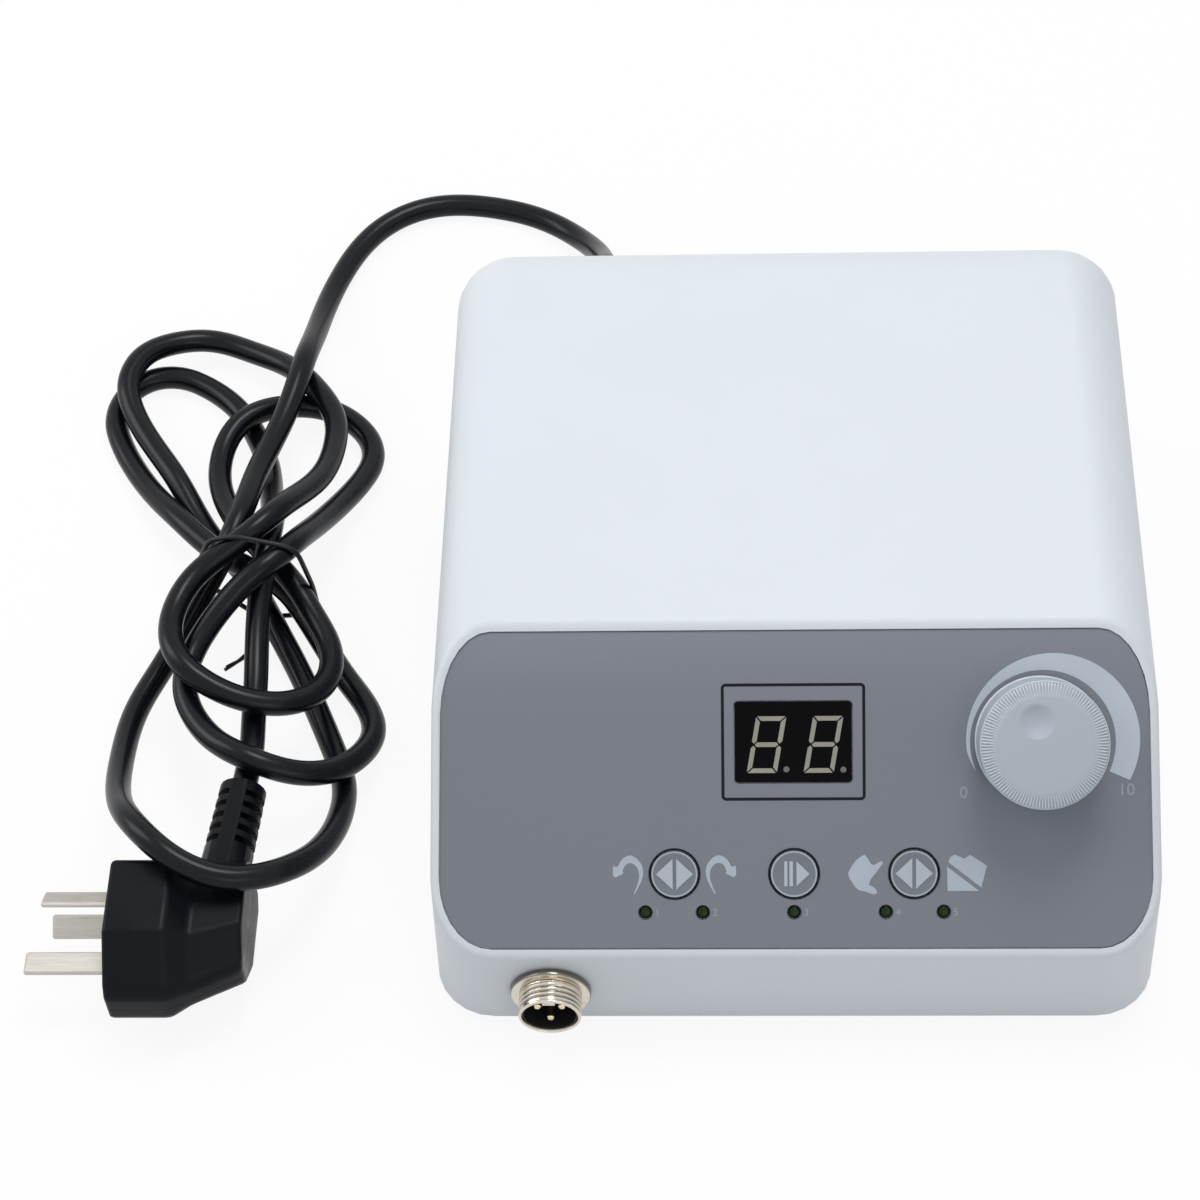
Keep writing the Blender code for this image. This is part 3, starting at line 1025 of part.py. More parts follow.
def make_gland(frames):
    """The cord gland with its ribbed, tapered bend relief."""
    flange_top = GAP + GLAND_FLANGE_THICKNESS
    tip = flange_top + GLAND_LENGTH
    pitch = GLAND_LENGTH / (GLAND_GROOVES + 1)
    taper = (GLAND_ROOT_RADIUS - GLAND_TIP_RADIUS) / GLAND_LENGTH
    profile = [(0, tip), (GLAND_TIP_RADIUS, tip)]
    for index in range(GLAND_GROOVES):
        groove_top = tip - (index + 1) * pitch
        groove_low = groove_top - GLAND_GROOVE_SHARE * pitch
        upper, lower = (GLAND_TIP_RADIUS + (tip - height) * taper for height in (groove_top, groove_low))
        profile += [(upper, groove_top), (upper - GLAND_GROOVE_DEPTH, groove_top)]
        profile += [(lower - GLAND_GROOVE_DEPTH, groove_low), (lower, groove_low)]
    profile += [(GLAND_ROOT_RADIUS, flange_top), (GLAND_FLANGE_RADIUS, flange_top), (GLAND_FLANGE_RADIUS, GAP),
                (GLAND_SHANK_RADIUS, GAP), (GLAND_SHANK_RADIUS, -GLAND_SHANK_LENGTH), (0, -GLAND_SHANK_LENGTH)]
    turned("cord_gland", profile, "rubber_black", frames["gland_frame"], steps=SMALL_STEPS)
    return frames["gland_frame"].matrix_world @ Vector((0, 0, tip + GAP))


def blade_places():
    """The (name, y, z, tilt, length) of the plug's pins."""
    return (
        ("plug_line_pin", 0, BLADE_SPACING / 2, -BLADE_TILT, BLADE_LENGTH),
        ("plug_neutral_pin", 0, -BLADE_SPACING / 2, BLADE_TILT, BLADE_LENGTH),
        ("plug_earth_pin", -EARTH_DISTANCE, 0, 0, EARTH_LENGTH),
    )


def plug_section(shares):
    """The (y, z) points of the plug's body at one depth, from shares of its reaches and its height."""
    front, back, tall = shares
    taper = max(PLUG_TAPER * front, BLADE_THICKNESS)
    half = ((-PLUG_FRONT * front, PLUG_NOSE_HALF * tall), (-PLUG_CHEEK * front, PLUG_CHEEK_HALF * tall),
            (-taper, PLUG_HALF_HEIGHT * tall), (PLUG_BACK * back, PLUG_HALF_HEIGHT * tall),
            (PLUG_SPINE * back, PLUG_SPINE_HALF * tall))
    return [(y, -z) for y, z in half] + [(y, z) for y, z in reversed(half)]


def make_plug(frames):
    """The moulded plug with its slotted strain relief, and its three pins."""
    frame = frames["plug_frame"]
    whole = (1, 1, 1)
    stations = ((0, whole), (PLUG_FACE_DEPTH, whole), (PLUG_SHOULDER_DEPTH, PLUG_SHOULDER_SHARES),
                (PLUG_DEPTH, PLUG_REAR_SHARES))
    bm = bmesh.new()
    rings = [[bm.verts.new((depth, y, z)) for y, z in plug_section(shares)] for depth, shares in stations]
    for ring, following in zip(rings, rings[1:]):
        for index, vert in enumerate(ring):
            after = (index + 1) % len(ring)
            bm.faces.new((vert, ring[after], following[after], following[index]))
    bm.faces.new(reversed(rings[0]))
    bm.faces.new(rings[-1])
    bmesh.ops.recalc_face_normals(bm, faces=bm.faces)
    bmesh.ops.bevel(bm, geom=bm.edges, offset=PLUG_BEVEL, segments=2, profile=0.5, affect="EDGES")
    body = add_object("plug_body", to_mesh(bm, "plug_body"), "rubber_black", frame)
    along = Matrix.Rotation(RELIEF_YAW, 4, "Z") @ Matrix.Rotation(-QUARTER_TURN, 4, "X")
    root = Vector((RELIEF_DEPTH, PLUG_SPINE * PLUG_SHOULDER_SHARES[1], 0))
    relief = rod_mesh("plug_relief", RELIEF_RADIUS, -RELIEF_SINK, RELIEF_LENGTH, SMALL_STEPS, RELIEF_TIP_RADIUS)
    relief.transform(Matrix.Translation(root) @ along)
    combine(body, add_object("plug_relief", relief, None, frame), "UNION")
    for side in (-1, 1):
        for index in range(RELIEF_SLOT_COUNT):
            size = (RELIEF_RADIUS, 2 * RELIEF_RADIUS + OVERRUN, RELIEF_SLOT_WIDTH)
            centre = (side * (RELIEF_SPINE + size[0]) / 2, 0, RELIEF_SLOT_START + index * RELIEF_SLOT_PITCH)
            name = f"relief_slot_{index + 1}_{'left' if side < 0 else 'right'}"
            slot = box_mesh(name, size, centre)
            slot.transform(Matrix.Translation(root) @ along)
            combine(body, add_object(name, slot, None, frame))
    for name, y, z, tilt, length in blade_places():
        turn = Matrix.Translation((0, y, z)) @ Matrix.Rotation(tilt, 4, "X")
        pocket_size = (BLADE_ROOT + OVERRUN, BLADE_WIDTH + 2 * GAP, BLADE_THICKNESS + 2 * GAP)
        pocket = box_mesh(name + "_pocket", pocket_size, ((BLADE_ROOT - OVERRUN) / 2, 0, 0))
        pocket.transform(turn)
        combine(body, add_object(name + "_pocket", pocket, None, frame))
        reach = length + BLADE_ROOT - GAP
        blade = box_mesh(name, (reach, BLADE_WIDTH, BLADE_THICKNESS),
                         (BLADE_ROOT - GAP - reach / 2, 0, 0), BLADE_TIP, 1)
        blade.transform(turn)
        add_object(name, blade, "nickel", frame)
    tip = Matrix.Translation(root) @ along @ Vector((0, 0, RELIEF_LENGTH + GAP))
    outward = along.to_3x3() @ Vector((0, 0, 1))
    return frame.matrix_world @ tip, outward


def smooth_route(stations):
    """A natural cubic spline through the stations, at even steps; also each station's distance along it."""
    count = len(stations)
    chords = np.linalg.norm(np.diff(stations[:, :2], axis=0), axis=1)
    knots = np.concatenate([[0], np.cumsum(np.sqrt(chords))])
    gaps = np.diff(knots)
    system, target = np.zeros((count, count)), np.zeros(stations.shape)
    system[0, 0] = system[-1, -1] = 1
    for index in range(1, count - 1):
        before, after = gaps[index - 1], gaps[index]
        system[index, index - 1:index + 2] = before, 2 * (before + after), after
        slopes = np.diff(stations[index - 1:index + 2], axis=0)
        target[index] = 6 * (slopes[1] / after - slopes[0] / before)
    bends = np.linalg.solve(system, target)
    fine = np.linspace(0, knots[-1], count * SPLINE_STEPS)
    span = np.clip(np.searchsorted(knots, fine, side="right") - 1, 0, count - 2)
    left, right, width = (knots[span + 1] - fine)[:, None], (fine - knots[span])[:, None], gaps[span][:, None]
    curve = (bends[span] * left ** 3 + bends[span + 1] * right ** 3) / (6 * width)
    curve += (stations[span] / width - bends[span] * width / 6) * left
    curve += (stations[span + 1] / width - bends[span + 1] * width / 6) * right
    travel = np.concatenate([[0], np.cumsum(np.linalg.norm(np.diff(curve[:, :2], axis=0), axis=1))])
    even = np.linspace(0, travel[-1], round(travel[-1] / CORD_STEP) + 1)
    columns = [np.interp(even, travel, curve[:, column]) for column in range(stations.shape[1])]
    return np.stack(columns, 1), np.interp(knots, fine, travel)


def settle_heights(route, held):
    """Heights at which the cord lies on the floor and over what has a lower rank, sagging in between."""
    count = len(route)
    floor, rank = np.maximum(route[:, 2], CORD_DIAMETER / 2), route[:, 3]
    reach = CORD_DIAMETER + CORD_LIFT_GAP
    distance = np.linalg.norm(route[:, None, :2] - route[None, :, :2], axis=2)
    apart = abs(np.arange(count)[:, None] - np.arange(count)) > CORD_NEAR_STEPS
    over = rank[:, None] > rank[None] + CORD_RANK_STEP
    upper, lower = np.nonzero((distance < reach) & over & apart)
    lift = np.sqrt(reach ** 2 - distance[upper, lower] ** 2)
    heights = floor.copy()
    for _ in range(CORD_PASSES):
        eased = heights.copy()
        eased[1:-1] = (heights[:-2] + heights[2:]) / 2 - CORD_SAG
        eased = np.maximum(eased, floor)
        eased[[0, -1]] = floor[[0, -1]]
        np.maximum.at(eased, upper, eased[lower] + lift)
        heights = eased
    for _ in range(CORD_SMOOTH_PASSES):
        eased = heights.copy()
        eased[1:-1] = heights[:-2] / 4 + heights[1:-1] / 2 + heights[2:] / 4
        heights = np.maximum(eased, floor)
        heights[[0, -1]] = floor[[0, -1]]
    heights[:held] = floor[:held]
    return heights


def lay_cord(start, outward, finish, finish_outward):
    """The cord's path as points in space, with the distances along it at which the hank begins and ends."""
    ends = [(*start, LEAD_POINTS[0][3]), (*(start + outward * CORD_EXIT), LEAD_POINTS[0][3])]
    rows = ends + list(LEAD_POINTS) + list(HANK_POINTS) + list(TAIL_POINTS)
    rows += [(*(finish + finish_outward * CORD_EXIT), TAIL_POINTS[-1][3]), (*finish, TAIL_POINTS[-1][3])]
    route, marks = smooth_route(np.array(rows))
    held = round(marks[len(ends) + CORD_HELD_STATIONS] / CORD_STEP)
    path = np.column_stack([route[:, :2], settle_heights(route, held)])
    plan = np.concatenate([[0], np.cumsum(np.linalg.norm(np.diff(route[:, :2], axis=0), axis=1))])
    travel = np.concatenate([[0], np.cumsum(np.linalg.norm(np.diff(path, axis=0), axis=1))])
    first = len(ends) + len(LEAD_POINTS)
    hank_marks = np.interp(marks[[first, first + len(HANK_POINTS)]], plan, travel)
    print(f"cord: {travel[-1]:.3f} m long, highest at {path[:, 2].max():.4f} m")
    return path, travel, hank_marks


def stretch(path, travel, low, high, count, ways=(None, None)):
    """Points of one stretch of the path, its ends straight for one diameter, along any given ways."""
    def at(distance):
        return np.array([np.interp(distance, travel, path[:, axis]) for axis in range(3)])

    steps = np.diff(path, axis=0) / np.diff(travel)[:, None]
    turns = np.linalg.norm(np.diff(steps, axis=0), axis=1) / CORD_STEP
    bend = np.interp(travel, travel[1:-1], np.convolve(turns, BEND_WINDOW_SHARES, "same"))
    share = np.concatenate([[0], np.cumsum((1 + BEND_WEIGHT * bend[1:]) * np.diff(travel))])
    places = np.linspace(np.interp(low, travel, share), np.interp(high, travel, share), count)
    points = [at(distance) for distance in np.interp(places, share, travel)]
    for end, inner, sign in ((0, 1, 1), (-1, -2, -1)):
        edge = (low, high)[end]
        near = np.clip((edge - CORD_DIAMETER / 2, edge + CORD_DIAMETER / 2), travel[0], travel[-1])
        tangent = at(near[1]) - at(near[0]) if ways[end] is None else np.array(ways[end])
        tangent /= np.linalg.norm(tangent)
        points[end] = at(edge)
        points[inner] = points[end] + sign * tangent * CORD_DIAMETER
    return np.array(points)


def wire(name, points, radius, resolution, finish, closed=False):
    """A tube along these points."""
    curve = bpy.data.curves.new(name, "CURVE")
    curve.dimensions = "3D"
    curve.bevel_depth = radius
    curve.bevel_resolution = resolution
    curve.use_fill_caps = not closed
    spline = curve.splines.new("POLY")
    spline.points.add(len(points) - 1)
    for point, place in zip(spline.points, points):
        point.co = (*place, 1)
        point.radius = 1
    spline.use_cyclic_u = closed
    spline.use_smooth = True
    return add_object(name, curve, finish)


def least_self_gap(points):
    """The least gap between parts of one tube that aren't neighbours along it."""
    travel = np.concatenate([[0], np.cumsum(np.linalg.norm(np.diff(points, axis=0), axis=1))])
    fine = np.arange(0, travel[-1], SELF_CHECK_STEP)
    dense = np.stack([np.interp(fine, travel, points[:, axis]) for axis in range(3)], 1)
    apart = abs(fine[:, None] - fine) > SELF_CHECK_SKIP
    distance = np.linalg.norm(dense[:, None] - dense, axis=2)
    return distance[apart].min() - CORD_DIAMETER


def tie_ring(path):
    """A ring round the hank's waist, as close as its slack allows."""
    band = path[abs(path[:, 1] - TIE_Y) < TIE_HALF_BAND][:, [0, 2]]
    reach = CORD_DIAMETER / 2 + TIE_RADIUS + TIE_SLACK
    ring = []
    for step in range(TIE_POINTS):
        angle = FULL_TURN * step / TIE_POINTS
        away = np.array((math.cos(angle), math.sin(angle)))
        x, z = band[np.argmax(band @ away)] + away * reach
        ring.append((x, TIE_Y, max(z, TIE_RADIUS + GAP)))
    return ring


def make_cord(frames, gland_tip, relief_tip, relief_outward):
    """The cord in three nodes, lead, hank and tail, and the wire tie round the hank."""
    gland_outward = frames["gland_frame"].matrix_world.to_3x3() @ Vector((0, 0, 1))
    path, travel, marks = lay_cord(gland_tip, gland_outward, relief_tip, relief_outward)
    half_gap = GAP / 2
    radius = CORD_DIAMETER / 2
    lead_count = round(marks[0] / RUN_STEP)
    lead = stretch(path, travel, 0, marks[0] - half_gap, lead_count, (gland_outward, None))
    wire("cord_lead", lead, radius, 2, "rubber_black")
    hank = stretch(path, travel, marks[0] + half_gap, marks[1] - half_gap, HANK_LOOPS * POINTS_PER_LOOP)
    wire("cord_hank", hank, radius, 1, "rubber_black")
    tail_count = round((travel[-1] - marks[1]) / TAIL_STEP)
    tail = stretch(path, travel, marks[1] + half_gap, travel[-1], tail_count, (None, -relief_outward))
    wire("cord_tail", tail, radius, 2, "rubber_black")
    print(f"hank: least gap to itself {1000 * least_self_gap(hank):.2f} mm")
    wire("cord_tie", tie_ring(path), TIE_RADIUS, 1, "plastic_black", closed=True)


def main():
    """Builds the whole control unit."""
    start_scene()
    frames = make_frames()
    make_housing(frames)
    make_base()
    make_front(frames)
    make_knob(frames)
    make_socket(frames)
    make_rocker(frames["rear_frame"])
    make_fuse(frames["rear_frame"])
    make_jack(frames["rear_frame"])
    make_transformer()
    make_power_board()
    gland_tip = make_gland(frames)
    relief_tip, relief_outward = make_plug(frames)
    make_cord(frames, gland_tip, relief_tip, relief_outward)


main()
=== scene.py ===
"""Looks of a laboratory micromotor control unit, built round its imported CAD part.

Each sub-assembly is a class. It holds its sizes in metres, or as tables of points in
millimetres, builds its pieces in the part's own frame and dresses them in procedural
finishes. The cord's route repeats the points that the part itself was laid along.
"""

import json
import logging
import math
from collections.abc import Callable, Iterable, Iterator, Sequence
from contextlib import contextmanager
from dataclasses import dataclass, field
from enum import Enum
from typing import ClassVar

import bmesh
import bpy
import numpy as np
from mathutils import Matrix, Vector

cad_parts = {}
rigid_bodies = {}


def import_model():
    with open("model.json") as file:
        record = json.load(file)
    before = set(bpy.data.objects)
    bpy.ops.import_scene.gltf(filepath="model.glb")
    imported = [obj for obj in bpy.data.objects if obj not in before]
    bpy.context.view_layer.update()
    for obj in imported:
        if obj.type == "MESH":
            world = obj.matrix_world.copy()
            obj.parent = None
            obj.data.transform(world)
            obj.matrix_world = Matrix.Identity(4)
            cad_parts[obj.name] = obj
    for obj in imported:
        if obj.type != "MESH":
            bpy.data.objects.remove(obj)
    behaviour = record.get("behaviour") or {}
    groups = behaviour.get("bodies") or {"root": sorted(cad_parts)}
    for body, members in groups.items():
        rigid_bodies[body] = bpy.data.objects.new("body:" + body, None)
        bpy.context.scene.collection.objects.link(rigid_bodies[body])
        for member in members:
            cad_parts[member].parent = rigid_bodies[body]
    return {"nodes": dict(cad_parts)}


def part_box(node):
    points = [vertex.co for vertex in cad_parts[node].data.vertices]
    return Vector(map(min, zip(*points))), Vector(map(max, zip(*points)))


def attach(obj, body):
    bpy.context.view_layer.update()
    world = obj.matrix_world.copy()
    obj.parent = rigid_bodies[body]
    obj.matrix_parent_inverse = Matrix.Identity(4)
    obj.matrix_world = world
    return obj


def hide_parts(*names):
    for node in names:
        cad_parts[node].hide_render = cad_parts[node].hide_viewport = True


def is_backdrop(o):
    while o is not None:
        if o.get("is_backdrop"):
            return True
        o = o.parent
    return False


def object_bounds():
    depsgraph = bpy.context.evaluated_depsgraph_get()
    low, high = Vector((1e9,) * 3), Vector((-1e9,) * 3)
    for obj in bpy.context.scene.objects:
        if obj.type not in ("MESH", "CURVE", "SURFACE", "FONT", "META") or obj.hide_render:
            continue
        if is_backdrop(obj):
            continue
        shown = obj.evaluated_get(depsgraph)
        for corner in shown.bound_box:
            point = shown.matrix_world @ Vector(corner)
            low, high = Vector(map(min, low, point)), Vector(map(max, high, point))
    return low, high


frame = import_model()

logging.basicConfig(level=logging.INFO, format="%(name)s: %(message)s")
log = logging.getLogger("control_unit")

Color = tuple[float, float, float]
Point2 = tuple[float, float]
Point3 = tuple[float, float, float]

MM = 0.001
FULL_TURN = 2 * math.pi
INK_HEIGHT = 0.03 * MM
INK_SINK = 0.01 * MM
FILM_TOP = -0.35 * MM
KEY_V = 21.0488 * MM
KEY_SPACING = 29.7 * MM
KNOB_UV: Point2 = (60.65008 * MM, 54.10034 * MM)
LAMP_UV = tuple((u * MM, 11.4488 * MM) for u in (-37.0, -22.7, 0.0, 22.7, 37.0))

WHITE: Color = (1.0, 1.0, 1.0)
ACROSS: Point3 = (1.0, 0.0, 0.0)
BACK: Point3 = (0.0, 1.0, 0.0)
FRONT: Point3 = (0.0, -1.0, 0.0)
UP: Point3 = (0.0, 0.0, 1.0)
SLOPE_UP: Point3 = (0.0, 0.7738, 0.6334)
SLOPE_AXIS: Point3 = (0.0, -0.633381, 0.773840)
FRONT_AXIS: Point3 = (0.0, -0.999534, 0.030539)
REAR_AXIS: Point3 = (0.0, 0.999534, 0.030539)


def srgb(red: float, green: float, blue: float) -> Color:
    """Turns a colour of 0 to 255 per channel into a linear one.

    Args:
        red: Red as a screen shows it.
        green: Green as a screen shows it.
        blue: Blue as a screen shows it.

    Returns:
        The linear red, green and blue, each from 0 to 1.
    """
    def linear(channel: float) -> float:
        """One channel as linear light."""
        share = channel / 255
        return share / 12.92 if share <= 0.04045 else ((share + 0.055) / 1.055) ** 2.4

    return linear(red), linear(green), linear(blue)


@dataclass(frozen=True)
class Placement:
    """A local frame: turned about the vertical, tilted about its own X, then moved."""

    place: Point3
    tilt: float = 0.0
    turn: float = 0.0

    @property
    def matrix(self) -> Matrix:
        """The frame's matrix in the part's frame."""
        turned = Matrix.Rotation(math.radians(self.turn), 4, "Z")
        tilted = Matrix.Rotation(math.radians(self.tilt), 4, "X")
        return Matrix.Translation(self.place) @ turned @ tilted

    def moved(self, x: float, y: float, z: float = 0.0) -> Matrix:
        """The frame's matrix, moved along its own axes."""
        return self.matrix @ Matrix.Translation((x, y, z))


class Site(Enum):
    """The frames in which the sub-assemblies are built."""

    SLOPE = Placement((0.0, -0.099002, 0.0310), 39.3)
    SOCKET = Placement((-0.0615, -0.099445, 0.0165), 88.25)
    REAR = Placement((0.0, 0.099318, 0.0300), 88.25, 180.0)
    GLAND = Placement((-0.0520, 0.099501, 0.0240), 88.25, 180.0)
    PLUG = Placement((-0.1745, -0.0772, 0.0168))


class Body(Enum):
    """The part's moving bodies."""

    UNIT = "unit"
    KNOB = "knob"
    DIRECTION = "direction_button"
    START_STOP = "start_stop_button"
    MODE = "control_mode_button"
    ROCKER = "rocker"
    FUSE = "fuse_bayonet"


class Value:
    """One output of a shader tree. Arithmetic on it adds Math nodes."""

    def __init__(self, graph: "Graph", socket: bpy.types.NodeSocket) -> None:
        self.graph = graph
        self.socket = socket

    def _math(self, operation: str, *terms: "Value | float") -> "Value":
        """Adds one Math node over the given terms."""
        return self.graph.add("ShaderNodeMath", {"operation": operation}, dict(enumerate(terms)))

    def __add__(self, other: "Value | float") -> "Value":
        return self._math("ADD", self, other)

    def __radd__(self, other: "Value | float") -> "Value":
        return self._math("ADD", other, self)

    def __sub__(self, other: "Value | float") -> "Value":
        return self._math("SUBTRACT", self, other)

    def __rsub__(self, other: "Value | float") -> "Value":
        return self._math("SUBTRACT", other, self)

    def __mul__(self, other: "Value | float") -> "Value":
        return self._math("MULTIPLY", self, other)

    def __truediv__(self, other: "Value | float") -> "Value":
        return self._math("DIVIDE", self, other)

    def __pow__(self, other: "Value | float") -> "Value":
        return self._math("POWER", self, other)

    def at_most(self, other: "Value | float") -> "Value":
        """The smaller of the two."""
        return self._math("MINIMUM", self, other)

    def at_least(self, other: "Value | float") -> "Value":
        """The larger of the two."""
        return self._math("MAXIMUM", self, other)

    def clamped(self) -> "Value":
        """The value held between 0 and 1."""
        return self.at_least(0.0).at_most(1.0)

    def sine(self) -> "Value":
        """The sine of the value in radians."""
        return self._math("SINE", self)

    def fraction(self) -> "Value":
        """The part of the value after its whole number."""
        return self._math("FRACT", self)

    def ramp(self, low: float, high: float) -> "Value":
        """A soft step from 0 at low to 1 at high."""
        return self.graph.add(
            "ShaderNodeMapRange", {"interpolation_type": "SMOOTHSTEP"},
            {"Value": self, "From Min": low, "From Max": high})


class Graph:
    """A shader tree that is written as expressions."""

    def __init__(self, tree: bpy.types.NodeTree) -> None:
        self.tree = tree

    def add(self, kind: str, settings: dict | None = None, inputs: dict | None = None,
            output: str | int | None = 0) -> "Value | None":
        """Adds a node: its settings first, then its values and links.

        Args:
            kind: The node's type name.
            settings: The node's own properties.
            inputs: Values or outputs for its sockets, by identifier, name or number.
            output: The output to return, by identifier, name or number, or none.

        Returns:
            The chosen output, if the node has one.
        """
        node = self.tree.nodes.new(kind)
        for key, value in (settings or {}).items():
            setattr(node, key, value)
        for key, value in (inputs or {}).items():
            socket = self._find(node.inputs, key)
            if isinstance(value, Value):
                self.tree.links.new(value.socket, socket)
            elif socket.type == "RGBA" and len(value) == 3:
                socket.default_value = (*value, 1.0)
            else:
                socket.default_value = value
        return None if output is None else Value(self, self._find(node.outputs, output))

    @staticmethod
    def _find(sockets: bpy.types.NodeInputs, key: str | int) -> bpy.types.NodeSocket:
        """A socket by its number, or by its identifier before its name."""
        if isinstance(key, int):
            return sockets[key]
        return next((socket for socket in sockets if socket.identifier == key), None) or sockets[key]

    def mix(self, factor: Value | float, first: Value | Color, second: Value | Color) -> Value:
        """A colour between the first, at factor 0, and the second, at factor 1."""
        return self.add(
            "ShaderNodeMix", {"data_type": "RGBA"},
            {"Factor_Float": factor, "A_Color": first, "B_Color": second}, "Result_Color")

    def vector(self, operation: str, *terms: Value | Point3, output: str | int = 0) -> Value:
        """Adds one Vector Math node over the given terms."""
        return self.add("ShaderNodeVectorMath", {"operation": operation}, dict(enumerate(terms)), output)

    def place(self, stretch: Point3 = (1.0, 1.0, 1.0)) -> Value:
        """Object coordinates in millimetres, stretched along each axis."""
        here = self.add("ShaderNodeTexCoord", output="Object")
        scale = tuple(share / MM for share in stretch)
        return self.vector("MULTIPLY", here, scale)

    def noise(self, scale: float, detail: float = 2.0, stretch: Point3 = (1.0, 1.0, 1.0),
              where: Value | None = None) -> Value:
        """Noise around 0.5, with this many features per millimetre."""
        return self.add(
            "ShaderNodeTexNoise", {"noise_dimensions": "3D"},
            {"Vector": where or self.place(stretch), "Scale": scale, "Detail": detail}, "Fac")

    def cells(self, scale: float) -> Value:
        """The distance to the middle of the nearest of randomly placed cells."""
        return self.add("ShaderNodeTexVoronoi", {}, {"Vector": self.place(), "Scale": scale}, "Distance")

    def along(self, axis: Point3) -> Value:
        """How far a point lies along a direction, in millimetres."""
        return self.vector("DOT_PRODUCT", self.place(), axis, output="Value")

    def from_axis(self, point: Point3, axis: Point3) -> Value:
        """A point's distance from a line, in millimetres."""
        offset = self.vector("SUBTRACT", self.place(), tuple(part / MM for part in point))
        return self.vector("LENGTH", self.vector("CROSS_PRODUCT", offset, axis), output="Value")

    def bump(self, height: Value) -> Value:
        """A normal bent by a height in millimetres."""
        return self.add("ShaderNodeBump", {}, {"Height": height, "Distance": MM, "Strength": 1.0})

    def end(self, kind: str, surface: Value) -> None:
        """Ends the tree in an output node."""
        self.add(kind, {}, {"Surface": surface}, None)


@dataclass
class Paint:
    """What varies over a finish."""

    color: Value
    roughness: Value
    height: Value | None = None


@dataclass(frozen=True)
class Finish:
    """A surface with a fine grain, faint patches and a few fine marks."""

    name: str
    slot: str
    color: Color
    roughness: float
    metallic: float = 0.0
    specular: float = 0.5
    mottle: float = 0.03
    grain: float = 0.004
    grain_scale: float = 3.0
    grain_gloss: float = 0.10
    patch_scale: float = 0.04
    patch_gloss: float = 0.08

    def tone(self, share: float) -> Color:
        """The base colour, darker below a share of 1 and lighter above it."""
        red, green, blue = (min(part * share, 1.0) for part in self.color)
        return red, green, blue

    def base(self, graph: Graph) -> Paint:
        """The grain and patches that most finishes start from."""
        patches = graph.noise(self.patch_scale, 3.0)
        grain = graph.noise(self.grain_scale, 3.0)
        dark, pale = self.tone(1 - self.mottle), self.tone(1 + self.mottle)
        color = graph.mix(patches.ramp(0.3, 0.7), dark, pale)
        roughness = self.roughness + (grain - 0.5) * self.grain_gloss + (patches - 0.5) * self.patch_gloss
        return Paint(color, roughness, grain * self.grain)

    def paint(self, graph: Graph) -> Paint:
        """What the finish looks like. Each kind of finish adds its own marks."""
        return self.base(graph)

    def material(self) -> bpy.types.Material:
        """The finish as a material, made on first use."""
        found = bpy.data.materials.get(self.name)
        if found is not None:
            return found
        material = bpy.data.materials.new(self.name)
        material.use_nodes = True
        shader = material.node_tree.nodes["Principled BSDF"]
        shader.inputs["Metallic"].default_value = self.metallic
        shader.inputs["Specular IOR Level"].default_value = self.specular
        graph = Graph(material.node_tree)
        paint = self.paint(graph)
        links = material.node_tree.links
        links.new(paint.color.socket, shader.inputs["Base Color"])
        links.new(paint.roughness.clamped().socket, shader.inputs["Roughness"])
        if paint.height is not None:
            links.new(graph.bump(paint.height).socket, shader.inputs["Normal"])
        material.diffuse_color = (*self.color, 1.0)
        return material


@dataclass(frozen=True)
class MouldedPlastic(Finish):
    """Spark-textured moulded plastic with faint flow lines and a little dust."""

    flow: float = 0.015
    flow_stretch: Point3 = (0.2, 1.0, 1.6)
    dust: float = 0.05
    dust_color: Color = srgb(120, 118, 112)

    def paint(self, graph: Graph) -> Paint:
        """Adds long flow lines and specks of dust to the grain."""
        paint = self.base(graph)
        flow = graph.noise(0.05, 2.0, self.flow_stretch)
        specks = 1 - graph.cells(0.35).ramp(0.03, 0.07)
        faint = specks * graph.noise(0.08).ramp(0.55, 0.75) * self.dust
        color = graph.mix(flow.ramp(0.35, 0.65) * self.flow * 8, paint.color, self.tone(0.97))
        paint.color = graph.mix(faint, color, self.dust_color)
        return paint


@dataclass(frozen=True)
class PanelFilm(Finish):
    """Satin printed film: a fine even emboss, painted light that grows lighter up the slope, and painted
    shade toward the right.
    """

    # fade sets how much the painted light lightens the film up the slope and darkens its foot.
    fade: float = 0.10
    length: float = 90.0
    width: float = 180.0
    emboss: float = 0.006
    ripple: float = 0.004

    def paint(self, graph: Graph) -> Paint:
        """Adds painted light, lighter up the slope, painted shade, darker toward the right, and the emboss.
        """
        paint = self.base(graph)
        painted_light_up_slope = (graph.along(SLOPE_UP) / self.length).clamped()
        side = (graph.along(ACROSS) / self.width + 0.5).clamped()
        # Painted light up the slope: darker at the foot, lighter toward the top.
        color = graph.mix(painted_light_up_slope, self.tone(1 - self.fade), self.tone(1 + self.fade))
        color = graph.mix(painted_light_up_slope.ramp(0.08, 0.36) * self.fade * 3, color, self.tone(1.3))
        # Painted shade: darker toward the right-hand end.
        paint.color = graph.mix(side * 0.25, color, self.tone(0.86))
        paint.height = graph.cells(5.0) * self.emboss + graph.noise(1.2) * self.ripple
        return paint


@dataclass(frozen=True)
class Ink(Finish):
    """Screen-printed ink with a slightly uneven cover."""

    under: Color = srgb(122, 128, 138)

    def paint(self, graph: Graph) -> Paint:
        """Thins the ink in small patches."""
        paint = self.base(graph)
        thin = graph.noise(2.4, 4.0).ramp(0.58, 0.78) * 0.10
        paint.color = graph.mix(thin, paint.color, self.under)
        return paint


